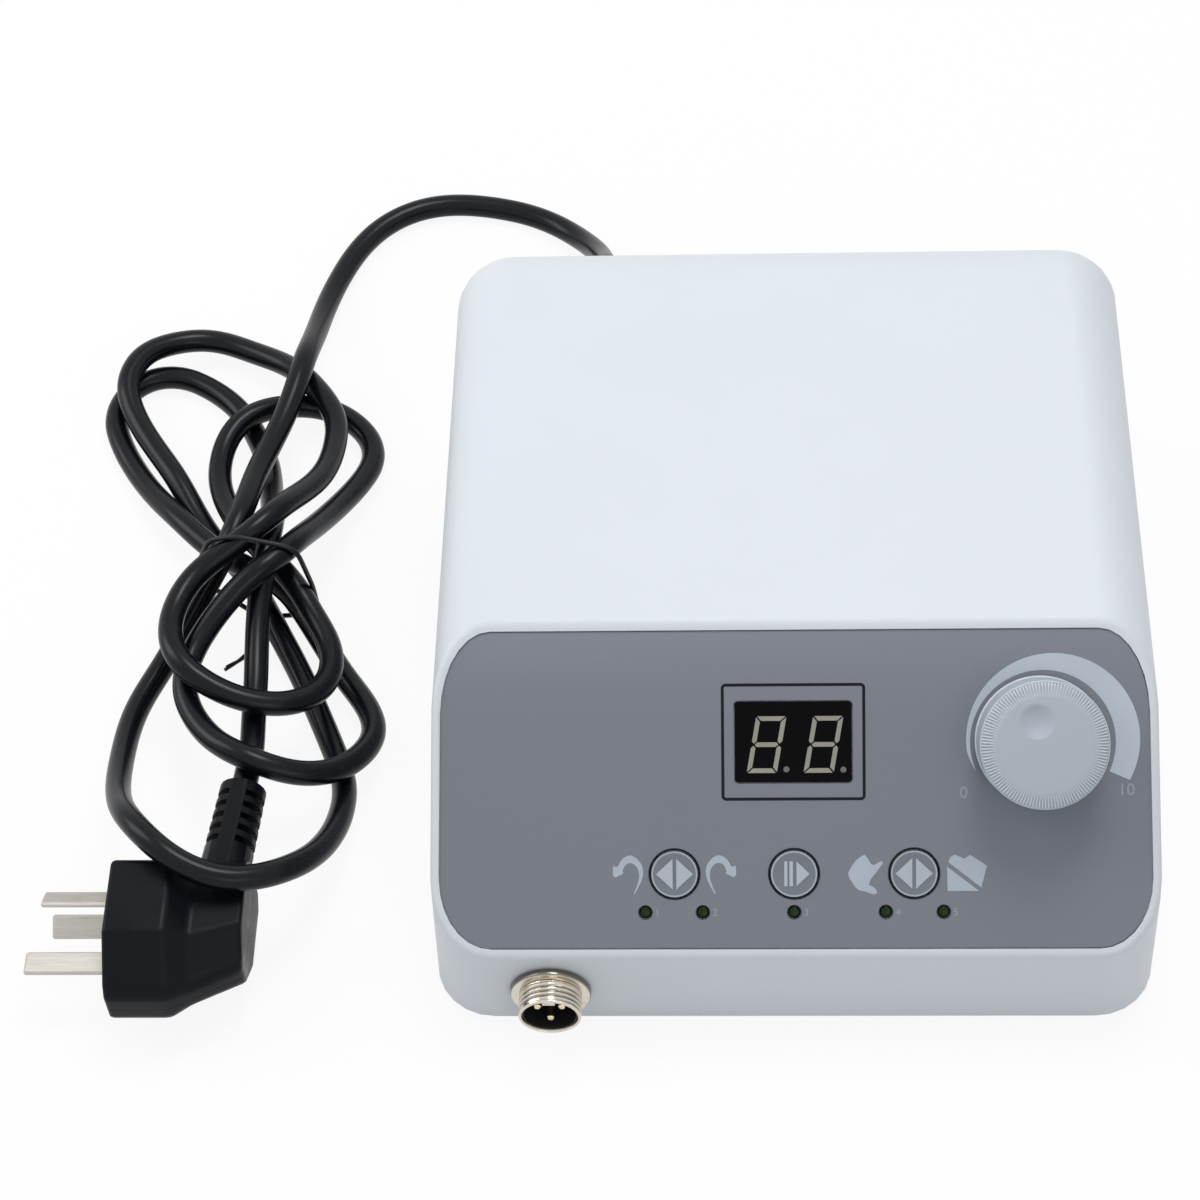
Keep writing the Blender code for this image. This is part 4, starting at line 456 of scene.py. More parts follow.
@dataclass(frozen=True)
class ClearFace(Finish):
    """Polished plastic with hairline scratches and a few smears."""

    def paint(self, graph: Graph) -> Paint:
        """Adds crossed hairlines and smears to the roughness."""
        smears = graph.noise(0.12, 4.0, (1.0, 0.5, 0.5)).ramp(0.45, 0.7)
        lines = graph.noise(0.9, 1.0, (0.15, 4.0, 4.0)).ramp(0.70, 0.73)
        crossed = graph.noise(0.9, 1.0, (4.0, 0.2, 0.2)).ramp(0.71, 0.74)
        marks = (lines + crossed).clamped()
        color = graph.mix(smears * 0.10, self.color, self.tone(2.2))
        roughness = self.roughness + smears * 0.08 + marks * 0.10
        return Paint(color, roughness, marks * -0.0012)


@dataclass(frozen=True)
class TurnedMetal(Finish):
    """Turned metal: fine tool lines round an axis, warm stains and painted shade.

    Each pair of radii for the painted shade is an unshaded and a fully shaded radius. The painted shade ends
    at the reach, which is measured along the axis from the center. All are in millimetres.
    """

    axis: Point3 = UP
    center: Point3 = (0.0, 0.0, 0.0)
    pitch: float = 0.16
    stain: Color = srgb(150, 118, 78)
    # The radius pairs and the tone of the painted shade.
    grime: tuple[Point2, ...] = ()
    grime_tone: float = 0.16
    reach: float = 100.0
    fade: float = 0.3

    def paint(self, graph: Graph) -> Paint:
        """Adds tool lines across the faces and round the walls, and painted shade between given radii."""
        depth = graph.along(self.axis)
        radius = graph.from_axis(self.center, self.axis)
        wander = graph.noise(0.6) * 0.4
        lines = ((depth + radius + wander) * (FULL_TURN / self.pitch)).sine()
        stains = graph.noise(0.25, 4.0).ramp(0.50, 0.78)
        scuffs = graph.noise(1.6, 3.0, (1.0, 3.0, 1.0)).ramp(0.62, 0.70)
        color = graph.mix(stains * 0.30, self.color, self.stain)
        color = graph.mix(scuffs * 0.20, color, self.tone(1.25))
        middle = Vector(self.center).dot(Vector(self.axis)) / MM
        behind = 1 - depth.ramp(middle + self.reach - self.fade, middle + self.reach)
        # Painted shade: darker between each pair of radii, up to the reach.
        for unshaded_radius, shaded_radius in self.grime:
            share = ((radius - unshaded_radius) / (shaded_radius - unshaded_radius)).clamped() * behind * 0.8
            color = graph.mix(share, color, self.tone(self.grime_tone))
        roughness = self.roughness + lines * 0.05 + stains * 0.12 - scuffs * 0.06
        return Paint(color, roughness, lines * 0.0020 + stains * 0.002)


@dataclass(frozen=True)
class BrushedMetal(Finish):
    """Rolled or plated metal with a grain along one direction."""

    stretch: Point3 = (0.08, 4.0, 4.0)

    def paint(self, graph: Graph) -> Paint:
        """Adds the drawn-out grain and small dark pits."""
        grain = graph.noise(1.4, 3.0, self.stretch)
        pits = 1 - graph.cells(0.9).ramp(0.05, 0.11)
        stains = graph.noise(0.18, 3.0).ramp(0.45, 0.75)
        color = graph.mix(grain.ramp(0.3, 0.7), self.tone(0.88), self.tone(1.10))
        color = graph.mix(pits * 0.35 + stains * 0.12, color, self.tone(0.55))
        roughness = self.roughness + (grain - 0.5) * 0.20 + stains * 0.10
        return Paint(color, roughness, grain * 0.004 - pits * 0.006)


@dataclass(frozen=True)
class Rubber(Finish):
    """Matt black rubber with fine pores, handling shine and pale dust."""

    dust: float = 0.10
    dust_color: Color = srgb(150, 148, 142)
    pore_depth: float = 0.008

    def paint(self, graph: Graph) -> Paint:
        """Adds pores, rubbed patches and dust."""
        paint = self.base(graph)
        pores = 1 - graph.cells(1.7).ramp(0.08, 0.20)
        rubbed = graph.noise(0.10, 3.0).ramp(0.45, 0.70)
        dust = graph.noise(0.9, 5.0).ramp(0.60, 0.80) * self.dust
        paint.color = graph.mix(dust, paint.color, self.dust_color)
        paint.roughness = paint.roughness - rubbed * 0.14
        paint.height = graph.noise(2.2, 3.0) * 0.012 - pores * self.pore_depth
        return paint


@dataclass(frozen=True)
class SeamedRubber(Rubber):
    """Rubber from a mould in two halves, with the fine line where they met."""

    seam: float = 16.8
    width: float = 0.30
    depth: float = 0.15

    def paint(self, graph: Graph) -> Paint:
        """Adds the line at its height above the floor."""
        paint = super().paint(graph)
        offset = (graph.along(UP) - self.seam) / self.width
        line = 1 - (offset * offset).clamped()
        paint.color = graph.mix(line * 0.8, paint.color, self.tone(0.1))
        paint.height = paint.height - line * self.depth
        return paint


@dataclass(frozen=True)
class Jacket(Finish):
    """The cord's sheath: faint drawn lines along it, scuffs, and the shine of soft vinyl."""

    draw: Point3 = (26.0, 60.0, 1.0)
    scuff: Color = srgb(96, 95, 93)

    def paint(self, graph: Graph) -> Paint:
        """Draws its lines and scuffs in the tube's own coordinates."""
        along = graph.add("ShaderNodeUVMap", {"uv_map": "along"})
        lines = graph.noise(1.0, 2.0, where=graph.vector("MULTIPLY", along, self.draw))
        patches = graph.noise(0.06, 3.0)
        scuffs = graph.noise(1.1, 4.0).ramp(0.62, 0.74)
        dust = graph.noise(0.5, 5.0).ramp(0.60, 0.85)
        color = graph.mix(scuffs * 0.04 + dust * 0.02, self.color, self.scuff)
        roughness = self.roughness + (lines - 0.5) * 0.06 + scuffs * 0.08 + (patches - 0.5) * 0.10
        return Paint(color, roughness, lines * 0.004 + scuffs * 0.002)


@dataclass(frozen=True)
class Lens(Finish):
    """Tinted epoxy, brighter over its chip and darker at its rim."""

    centers: tuple[Point3, ...] = ()
    axis: Point3 = UP
    radius: float = 1.4

    def paint(self, graph: Graph) -> Paint:
        """Lightens the middle of each lens and clouds its body."""
        nearest: Value | None = None
        for center in self.centers:
            distance = graph.from_axis(center, self.axis)
            nearest = distance if nearest is None else nearest.at_most(distance)
        assert nearest is not None
        middle = 1 - (nearest / self.radius).clamped()
        clouds = graph.noise(2.0, 3.0)
        color = graph.mix(middle * 0.55 + (clouds - 0.5) * 0.2, self.tone(0.6), self.tone(1.4))
        return Paint(color, self.roughness + clouds * 0.06, clouds * 0.004)


@dataclass(frozen=True)
class Laminations(Finish):
    """Stacked core plates: thin bright edges between dark varnished gaps."""

    axis: Point3 = BACK
    pitch: float = 0.5
    rust: Color = srgb(96, 58, 32)

    def paint(self, graph: Graph) -> Paint:
        """Adds the plates' edges and rust at some of them."""
        share = (graph.along(self.axis) / self.pitch).fraction()
        gap = share.ramp(0.72, 0.86) * (1 - share.ramp(0.92, 1.0))
        rust = graph.noise(0.3, 4.0).ramp(0.58, 0.80)
        varnish = graph.noise(0.12, 3.0)
        color = graph.mix(gap, self.tone(1.1), self.tone(0.25))
        color = graph.mix(rust * 0.35, color, self.rust)
        return Paint(color, self.roughness + varnish * 0.2 - 0.1, gap * -0.05 + varnish * 0.02)


@dataclass(frozen=True)
class Windings(Finish):
    """Polyester tape wrapped over a coil, with overlaps and bubbles."""

    tape: float = 9.0
    wire: float = 0.9

    def paint(self, graph: Graph) -> Paint:
        """Adds the tape's edges and the wire that shows through."""
        rise = graph.along(UP)
        overlap = (rise / self.tape + graph.noise(0.05) * 0.06).fraction()
        edge = overlap.ramp(0.0, 0.03) * (1 - overlap.ramp(0.03, 0.09))
        wires = (rise * (FULL_TURN / self.wire)).sine() * 0.5 + 0.5
        bubbles = 1 - graph.cells(0.45).ramp(0.15, 0.35)
        color = graph.mix(wires * 0.25, self.color, self.tone(0.62))
        color = graph.mix(edge * 0.5, color, self.tone(0.4))
        roughness = self.roughness - bubbles * 0.12 + edge * 0.1
        return Paint(color, roughness, wires * 0.03 + edge * 0.06 + bubbles * 0.02)


@dataclass(frozen=True)
class SolderMask(Finish):
    """A circuit board: green mask over copper tracks, with tinned pads in rows."""

    grid: float = 2.54
    tin: Color = srgb(196, 198, 200)
    hole: Color = srgb(16, 16, 14)

    def paint(self, graph: Graph) -> Paint:
        """Adds tracks as ridges between cells, and pads with holes on the grid."""
        across = graph.along(ACROSS) / self.grid
        up = graph.along(SLOPE_UP) / self.grid
        from_row = across.fraction() - 0.5
        from_line = up.fraction() - 0.5
        distance = (from_row * from_row + from_line * from_line) ** 0.5
        used = graph.noise(0.10, 0.0).ramp(0.50, 0.53)
        pads = (1 - distance.ramp(0.26, 0.30)) * used
        holes = (1 - distance.ramp(0.12, 0.15)) * used
        edges = graph.add("ShaderNodeTexVoronoi", {"feature": "DISTANCE_TO_EDGE"},
                          {"Vector": graph.place((1.0, 0.5, 0.5)), "Scale": 0.22}, "Distance")
        tracks = 1 - edges.ramp(0.06, 0.10)
        color = graph.mix(tracks, self.color, self.tone(1.7))
        color = graph.mix(pads, color, self.tin)
        color = graph.mix(holes, color, self.hole)
        roughness = self.roughness - pads * 0.12 + graph.noise(1.0) * 0.08
        return Paint(color, roughness, tracks * 0.035 + pads * 0.05 - holes * 0.08)


@dataclass(frozen=True)
class Sleeve(Finish):
    """A capacitor's shrunk sleeve with its pale polarity band and vented end."""

    center: Point3 = (0.0, 0.0, 0.0)
    top: float = 0.0
    stripe: Color = srgb(176, 182, 190)
    bare: Color = srgb(186, 188, 190)
    dash_pitch: float = 5.0

    def paint(self, graph: Graph) -> Paint:
        """Adds the band with its dashes, the shrink wrinkles and the bare end."""
        across = graph.along(ACROSS) - self.center[0] / MM
        front = graph.along(FRONT) + self.center[1] / MM
        rise = graph.along(UP)
        square = across * across
        band = (1 - square.ramp(7.0, 9.0)) * front.ramp(0.0, 1.0)
        dash = (rise / self.dash_pitch).fraction().ramp(0.4, 0.45) * (1 - square.ramp(0.4, 0.7))
        end = rise.ramp(self.top / MM - 0.4, self.top / MM - 0.1)
        wrinkles = graph.noise(0.8, 3.0, (1.0, 1.0, 0.12))
        color = graph.mix(band, self.color, self.stripe)
        color = graph.mix(band * dash, color, self.color)
        color = graph.mix(end, color, self.bare)
        return Paint(color, self.roughness + wrinkles * 0.12, wrinkles * 0.03)


def on_slope(u: float, v: float) -> Point3:
    """A point on the sloping panel, in the part's frame."""
    point = Site.SLOPE.value.matrix @ Vector((u, v, 0.0))
    return point.x, point.y, point.z


class Look:
    """Every finish that the pieces wear."""

    HOUSING = MouldedPlastic("housing_satin", "housing", srgb(208, 213, 219), 0.46, grain=0.010,
                             grain_scale=2.4, specular=0.4, mottle=0.006, flow=0.004)
    PLATE = MouldedPlastic("plate_textured", "plate", srgb(176, 178, 181), 0.55, grain=0.020, dust=0.12)
    # The panel film carries painted light and shade: lighter up the slope, darker toward the right.
    PANEL = PanelFilm("panel_film", "overlay", srgb(126, 130, 140), 0.50, specular=0.35, fade=0.13)
    INK_PALE = Ink("ink_pale", "overlay", srgb(170, 180, 192), 0.50, specular=0.3)
    INK_BAND = Ink("ink_band", "overlay", srgb(181, 190, 200), 0.48, specular=0.3)
    INK_DARK = Ink("ink_dark", "overlay", srgb(15, 16, 19), 0.45, specular=0.15)
    INK_FAINT = Ink("ink_faint", "overlay", srgb(148, 154, 165), 0.50, specular=0.3)
    WINDOW = ClearFace("window_smoked", "window", srgb(8, 8, 10), 0.14, specular=0.04)
    SEGMENT = ClearFace("segment_unlit", "window", srgb(146, 143, 132), 0.30, specular=0.2)
    POINT = ClearFace("segment_point", "window", srgb(104, 104, 100), 0.30, specular=0.2)
    # The keys use the same film, with a faint painted light up the slope.
    KEY = PanelFilm("key_film", "key", srgb(116, 121, 129), 0.50, specular=0.35, fade=0.03)
    KEY_RING = Ink("key_ring", "key", srgb(164, 170, 179), 0.46, specular=0.3)
    KEY_MARK = Ink("key_mark", "key", srgb(174, 181, 190), 0.46, specular=0.3)
    KNOB = MouldedPlastic("knob_satin", "knob", srgb(168, 177, 186), 0.42, grain=0.006, specular=0.45,
                          mottle=0.008, flow=0.004)
    # A lighter copy of the knob's plastic: painted highlight on the ribs and on two thin rings.
    KNOB_RIB = MouldedPlastic("knob_painted_highlight", "knob", srgb(197, 203, 209), 0.38, grain=0.004, specular=0.45)
    LAMP = Lens("lamp_epoxy", "lamp", srgb(16, 44, 9), 0.24, specular=0.18, axis=SLOPE_AXIS,
                centers=tuple(on_slope(u, v) for u, v in LAMP_UV))
    # Painted shade darkens the nickel inside the bore and round the flange's outer edge.
    NICKEL = TurnedMetal("socket_nickel", "nickel", srgb(210, 203, 190), 0.15, 1.0, axis=FRONT_AXIS,
                         center=Site.SOCKET.value.place,
                         grime=((7.95, 7.62), (9.85, 10.15)), reach=8.1)
    NUT = TurnedMetal("nut_nickel", "nickel", srgb(204, 200, 190), 0.26, 1.0, axis=REAR_AXIS,
                      center=(0.002, 0.099318, 0.030))
    INSULATOR = MouldedPlastic("insulator_black", "insulator", srgb(30, 30, 32), 0.42, dust=0.10)
    CONTACT = TurnedMetal("contact_gilt", "contact", srgb(222, 206, 168), 0.24, 1.0, axis=FRONT_AXIS,
                          center=Site.SOCKET.value.place, pitch=0.3)
    ROCKER = MouldedPlastic("rocker_black", "rocker", srgb(28, 28, 30), 0.34, dust=0.08)
    ROCKER_MARK = Ink("rocker_mark", "rocker", srgb(214, 214, 210), 0.5)
    FUSE = MouldedPlastic("fuse_black", "insulator", srgb(27, 27, 29), 0.40, dust=0.10)
    FOOT = Rubber("foot_rubber", "foot", srgb(36, 36, 37), 0.72)
    GLAND = Rubber("gland_rubber", "gland", srgb(32, 32, 33), 0.55)
    CORD = Jacket("cord_vinyl", "cord", srgb(9, 12, 18), 0.26, specular=0.20)
    TIE = Rubber("tie_wire", "tie", srgb(12, 13, 14), 0.40, specular=0.3, dust=0.02)
    PLUG = SeamedRubber("plug_vinyl", "plug", srgb(9, 12, 18), 0.42, specular=0.12, dust=0.01)
    BLADE = BrushedMetal("blade_nickel", "blade", srgb(188, 184, 177), 0.42, 1.0)
    # Painted shade: a dark inlay on each screw head stands for the shade in its cross recess.
    RECESS = Ink("screw_recess_shade", "steel", srgb(38, 38, 41), 0.6)
    STEEL = BrushedMetal("zinc_steel", "steel", srgb(186, 188, 192), 0.34, 1.0, stretch=(1.0, 1.0, 1.0))
    ALUMINIUM = BrushedMetal("extruded_aluminium", "aluminium", srgb(196, 198, 201), 0.36, 1.0,
                             stretch=(4.0, 4.0, 0.08))
    BRASS = TurnedMetal("turned_brass", "brass", srgb(208, 172, 98), 0.28, 1.0, axis=SLOPE_AXIS,
                        center=on_slope(*KNOB_UV))
    CORE = Laminations("core_plates", "core", srgb(130, 133, 138), 0.45, 0.8)
    WINDING = Windings("coil_tape", "winding", srgb(196, 160, 70), 0.40)
    BOARD = SolderMask("solder_mask", "board", srgb(24, 104, 52), 0.34)
    CAPACITOR = Sleeve("capacitor_sleeve", "capacitor", srgb(38, 60, 128), 0.32,
                       center=(0.022007, 0.016, 0.0), top=0.0425)
    MODULE = MouldedPlastic("module_black", "module", srgb(32, 32, 34), 0.44, dust=0.06)


def linked(name: str, data: bpy.types.ID) -> bpy.types.Object:
    """A new object in the scene."""
    thing = bpy.data.objects.new(name, data)
    bpy.context.scene.collection.objects.link(thing)
    return thing


def baked(data: bpy.types.ID, kind: str | None = None, inputs: dict | None = None,
          **settings: object) -> bpy.types.Mesh:
    """Turns a curve, or a mesh with a modifier on it, into a plain mesh.

    Args:
        data: The curve or the mesh.
        kind: The modifier's type, if there is one.
        inputs: Values for a Geometry Nodes modifier's sockets, by their identifiers.
        settings: The modifier's own properties.

    Returns:
        The new mesh, without the modifier.
    """
    carrier = linked("carrier", data)
    if kind is not None:
        modifier = carrier.modifiers.new("work", kind)
        for key, value in settings.items():
            setattr(modifier, key, value)
        for key, value in (inputs or {}).items():
            modifier[key] = value
    bpy.context.view_layer.update()
    graph = bpy.context.evaluated_depsgraph_get()
    mesh = bpy.data.meshes.new_from_object(carrier.evaluated_get(graph))
    carrier.modifiers.clear()
    bpy.data.objects.remove(carrier)
    return mesh


@contextmanager
def reworked(source: bpy.types.Mesh, target: bpy.types.Mesh) -> Iterator[bmesh.types.BMesh]:
    """Opens one mesh for work and writes the result, with its faces outward, to another.

    Args:
        source: The mesh to start from.
        target: The mesh to write to, which may be the same.

    Yields:
        The open mesh.
    """
    bm = bmesh.new()
    bm.from_mesh(source)
    yield bm
    bmesh.ops.recalc_face_normals(bm, faces=bm.faces)
    bm.to_mesh(target)
    bm.free()


class Solid:
    """Points and faces on their way to becoming a mesh."""

    MERGE = 0.5e-6

    def __init__(self) -> None:
        self.points: list[Vector] = []
        self.faces: list[tuple[int, ...]] = []

    def loop(self, points: Iterable[Sequence[float]]) -> list[int]:
        """Adds points and gives their numbers."""
        start = len(self.points)
        self.points.extend(Vector(point) for point in points)
        return list(range(start, len(self.points)))

    def bridge(self, lower: list[int], upper: list[int]) -> None:
        """Joins two closed loops of equal count with quads."""
        for index in range(len(lower)):
            after = (index + 1) % len(lower)
            self.faces.append((lower[index], lower[after], upper[after], upper[index]))

    def cap(self, loop: list[int]) -> None:
        """Closes a loop with one face."""
        self.faces.append(tuple(loop))

    def lathe(self, profile: Sequence[Point2], steps: int, closed: bool = False,
              carve: Callable[[float, float, float], float] | None = None) -> "Solid":
        """Turns a profile of (radius, height) pairs about the Z axis.

        Args:
            profile: The outline, from one end of the axis to the other or round a ring.
            steps: The number of steps round the axis.
            closed: True where the profile is a closed ring.
            carve: Gives a new radius for an angle, radius and height.

        Returns:
            This solid.
        """
        rings: list[list[int]] = []
        for radius, height in profile:
            ring = []
            for step in range(steps):
                angle = FULL_TURN * step / steps
                reach = carve(angle, radius, height) if carve else radius
                ring.append((reach * math.cos(angle), reach * math.sin(angle), height))
            rings.append(self.loop(ring))
        for lower, upper in zip(rings, rings[1:] + rings[:1] if closed else rings[1:]):
            self.bridge(lower, upper)
        return self

    def prism(self, outline: Sequence[Point2], low: float, high: float) -> "Solid":
        """Raises a flat outline from one height to another."""
        bottom = self.loop((x, y, low) for x, y in outline)
        top = self.loop((x, y, high) for x, y in outline)
        self.bridge(bottom, top)
        self.cap(top)
        self.cap(bottom[::-1])
        return self

    def band(self, outer: Sequence[Point2], inner: Sequence[Point2], low: float, high: float) -> "Solid":
        """Raises the area between two outlines with equal counts of points."""
        loops = [self.loop((x, y, z) for x, y in outline)
                 for outline, z in ((outer, low), (outer, high), (inner, high), (inner, low))]
        for lower, upper in zip(loops, loops[1:] + loops[:1]):
            self.bridge(lower, upper)
        return self

    def box(self, size: Point3, center: Point3 = (0.0, 0.0, 0.0)) -> "Solid":
        """Adds a box."""
        x, y = size[0] / 2, size[1] / 2
        corners = ((-x, -y), (x, -y), (x, y), (-x, y))
        outline = [(center[0] + across, center[1] + up) for across, up in corners]
        return self.prism(outline, center[2] - size[2] / 2, center[2] + size[2] / 2)

    def tube(self, path: Sequence[Sequence[float]], radius: float, sides: int,
             closed: bool = False) -> "Solid":
        """Adds a round tube along a path, with flat ends where it isn't closed."""
        rings = [self.loop(ring) for ring in tube_rings(np.array(path, float), radius, sides, closed)]
        for lower, upper in zip(rings, rings[1:] + rings[:1] if closed else rings[1:]):
            self.bridge(lower, upper)
        if not closed:
            self.cap(rings[0][::-1])
            self.cap(rings[-1])
        return self

    def mesh(self, name: str, matrix: Matrix | None = None, sharp: float = 35.0) -> bpy.types.Mesh:
        """Makes the mesh, merged, facing outward and smooth up to an angle.

        Args:
            name: The mesh's name.
            matrix: Moves the mesh from its local frame.
            sharp: Edges that turn by more degrees than this stay sharp.

        Returns:
            The mesh.
        """
        mesh = bpy.data.meshes.new(name)
        mesh.from_pydata(self.points, [], self.faces)
        if matrix is not None:
            mesh.transform(matrix)
        with reworked(mesh, mesh) as bm:
            bmesh.ops.remove_doubles(bm, verts=bm.verts, dist=self.MERGE)
            bmesh.ops.dissolve_degenerate(bm, edges=bm.edges, dist=self.MERGE)
        soften(mesh, sharp)
        return mesh


def soften(mesh: bpy.types.Mesh, sharp: float) -> None:
    """Shades a mesh smooth, apart from edges that turn by more degrees than sharp."""
    mesh.shade_smooth()
    mesh.set_sharp_from_angle(angle=math.radians(sharp))


def travel(path: np.ndarray) -> np.ndarray:
    """How far along a path each of its points lies."""
    return np.concatenate([[0], np.cumsum(np.linalg.norm(np.diff(path, axis=0), axis=1))])


def columns_at(places: np.ndarray, knots: np.ndarray, rows: np.ndarray) -> np.ndarray:
    """Each column of a table, read between its rows at the given places."""
    return np.stack([np.interp(places, knots, column) for column in rows.T], 1)


def calmed(path: np.ndarray, passes: int) -> np.ndarray:
    """Evens out a path, with its two ends held."""
    path = path.copy()
    for _ in range(passes):
        path[1:-1] = (path[:-2] + 2 * path[1:-1] + path[2:]) / 4
    return path


def tube_rings(path: np.ndarray, radius: float, sides: int, closed: bool = False) -> np.ndarray:
    """Rings of points round a path, turned no more than its bends need.

    Args:
        path: The points of the centreline.
        radius: The tube's radius.
        sides: The number of points in a ring.
        closed: True where the path's end meets its start.

    Returns:
        An array of rings by sides by 3.
    """
    if closed:
        ways = np.roll(path, -1, 0) - np.roll(path, 1, 0)
    else:
        ways = np.gradient(path, axis=0)
    ways /= np.linalg.norm(ways, axis=1)[:, None]
    side = np.cross(ways[0], UP)
    if np.linalg.norm(side) < 0.1:
        side = np.cross(ways[0], ACROSS)
    angles = FULL_TURN * np.arange(sides) / sides
    rings = []
    for place, way in zip(path, ways):
        side = side - way * side.dot(way)
        side /= np.linalg.norm(side)
        up = np.cross(way, side)
        rings.append(place + radius * (np.cos(angles)[:, None] * side + np.sin(angles)[:, None] * up))
    return np.array(rings)


def circle(radius: float, steps: int = 64, center: Point2 = (0.0, 0.0)) -> list[Point2]:
    """The points of a circle."""
    return [(center[0] + radius * math.cos(FULL_TURN * step / steps),
             center[1] + radius * math.sin(FULL_TURN * step / steps)) for step in range(steps)]


def rounded(width: float, height: float, radius: float, center: Point2 = (0.0, 0.0),
            steps: int = 8) -> list[Point2]:
    """The points of a rectangle with round corners."""
    points = []
    for quarter, (side, rise) in enumerate(((1, 1), (-1, 1), (-1, -1), (1, -1))):
        for step in range(steps + 1):
            angle = math.radians(90 * (quarter + step / steps))
            points.append((center[0] + side * (width / 2 - radius) + radius * math.cos(angle),
                           center[1] + rise * (height / 2 - radius) + radius * math.sin(angle)))
    return points


def millimetres(points: Iterable[Point2], mirror: float | None = None) -> list[Point2]:
    """Turns points in millimetres into metres, mirrored about an upright line if one is given."""
    placed = list(points)
    if mirror is not None:
        placed = [(2 * mirror - u, v) for u, v in placed][::-1]
    return [(u * MM, v * MM) for u, v in placed]


def eased(points: Sequence[Point2], cut: float = 0.22) -> list[Point2]:
    """Cuts the corners of a closed outline, so that it reads as a curve."""
    after = list(points[1:]) + [points[0]]
    return [((1 - share) * x + share * u, (1 - share) * y + share * v)
            for (x, y), (u, v) in zip(points, after) for share in (cut, 1 - cut)]


def lettering(text: str, size: float, matrix: Matrix, low: float) -> bpy.types.Mesh:
    """Plain figures as a thin raised mesh.

    Args:
        text: The figures.
        size: Their size in metres.
        matrix: The frame whose XY plane they lie in.
        low: The height of their underside in that frame.

    Returns:
        The mesh.
    """
    curve = bpy.data.curves.new("lettering", "FONT")
    curve.body = text
    curve.size = size
    curve.align_x, curve.align_y = "CENTER", "CENTER"
    curve.extrude = INK_HEIGHT / 2
    curve.resolution_u = 6
    mesh = baked(curve)
    mesh.transform(matrix @ Matrix.Translation((0, 0, low + INK_HEIGHT / 2)))
    mesh.materials.clear()
    return mesh


class Repeater:
    """A Geometry Nodes group that repeats one mesh round the Z axis, with sizes that may vary."""

    INPUTS = (("Count", "NodeSocketInt", 8), ("Turn", "NodeSocketFloat", 0.0),
              ("Spread", "NodeSocketFloat", 0.0), ("Seed", "NodeSocketInt", 7),
              ("Material", "NodeSocketMaterial", None))

    def __init__(self) -> None:
        self.tree = bpy.data.node_groups.new("repeat_item", "GeometryNodeTree")
        self.tree.interface.new_socket("Item", in_out="INPUT", socket_type="NodeSocketGeometry")
        for name, kind, value in self.INPUTS:
            socket = self.tree.interface.new_socket(name, in_out="INPUT", socket_type=kind)
            if value is not None:
                socket.default_value = value
        self.tree.interface.new_socket("Geometry", in_out="OUTPUT", socket_type="NodeSocketGeometry")
        self._wire()

    def _node(self, kind: str, links: dict | None = None, **settings: object) -> bpy.types.Node:
        """Adds a node with its settings, then links outputs into its sockets."""
        node = self.tree.nodes.new(kind)
        for key, value in settings.items():
            setattr(node, key, value)
        for key, source in (links or {}).items():
            self.tree.links.new(source, node.inputs[key])
        return node

    def _wire(self) -> None:
        """Wires the group: points, one instance on each, then one mesh with one material."""
        given = self._node("NodeGroupInput").outputs
        points = self._node("GeometryNodePoints", {"Count": given["Count"]})
        index = self._node("GeometryNodeInputIndex").outputs[0]
        angle = self._node("ShaderNodeMath", {0: index, 1: given["Turn"]}, operation="MULTIPLY")
        turn = self._node("ShaderNodeCombineXYZ", {"Z": angle.outputs[0]})
        least = self._node("ShaderNodeMath", {1: given["Spread"]}, operation="SUBTRACT")
        least.inputs[0].default_value = 1.0
        most = self._node("ShaderNodeMath", {1: given["Spread"]}, operation="ADD")
        most.inputs[0].default_value = 1.0
        size = self._node("FunctionNodeRandomValue", data_type="FLOAT")
        for key, source in (("Min", least.outputs[0]), ("Max", most.outputs[0]), ("Seed", given["Seed"])):
            socket = next(each for each in size.inputs if each.name == key and each.enabled)
            self.tree.links.new(source, socket)
        chosen = next(each for each in size.outputs if each.enabled)
        made = self._node("GeometryNodeInstanceOnPoints", {
            "Points": points.outputs[0], "Instance": given["Item"],
            "Rotation": turn.outputs[0], "Scale": chosen})
        real = self._node("GeometryNodeRealizeInstances", {"Geometry": made.outputs[0]})
        dressed = self._node("GeometryNodeSetMaterial", {"Geometry": real.outputs[0],
                                                         "Material": given["Material"]})
        self._node("NodeGroupOutput", {"Geometry": dressed.outputs[0]})

    def run(self, name: str, item: bpy.types.Mesh, finish: Finish, matrix: Matrix,
            **values: object) -> bpy.types.Mesh:
        """Repeats a mesh and gives the result as one plain mesh.

        Args:
            name: The new mesh's name.
            item: The mesh to repeat, in the frame that it is repeated in.
            finish: What the repeats are made of.
            matrix: The frame's matrix.
            values: Values for the group's named inputs.

        Returns:
            The mesh of all the repeats.
        """
        sockets = {socket.name: socket.identifier for socket in self.tree.interface.items_tree
                   if socket.in_out == "INPUT"}
        values["Material"] = finish.material()
        inputs = {sockets[key]: value for key, value in values.items()}
        mesh = baked(item, "NODES", inputs, node_group=self.tree)
        mesh.name = name
        mesh.transform(matrix)
        return mesh


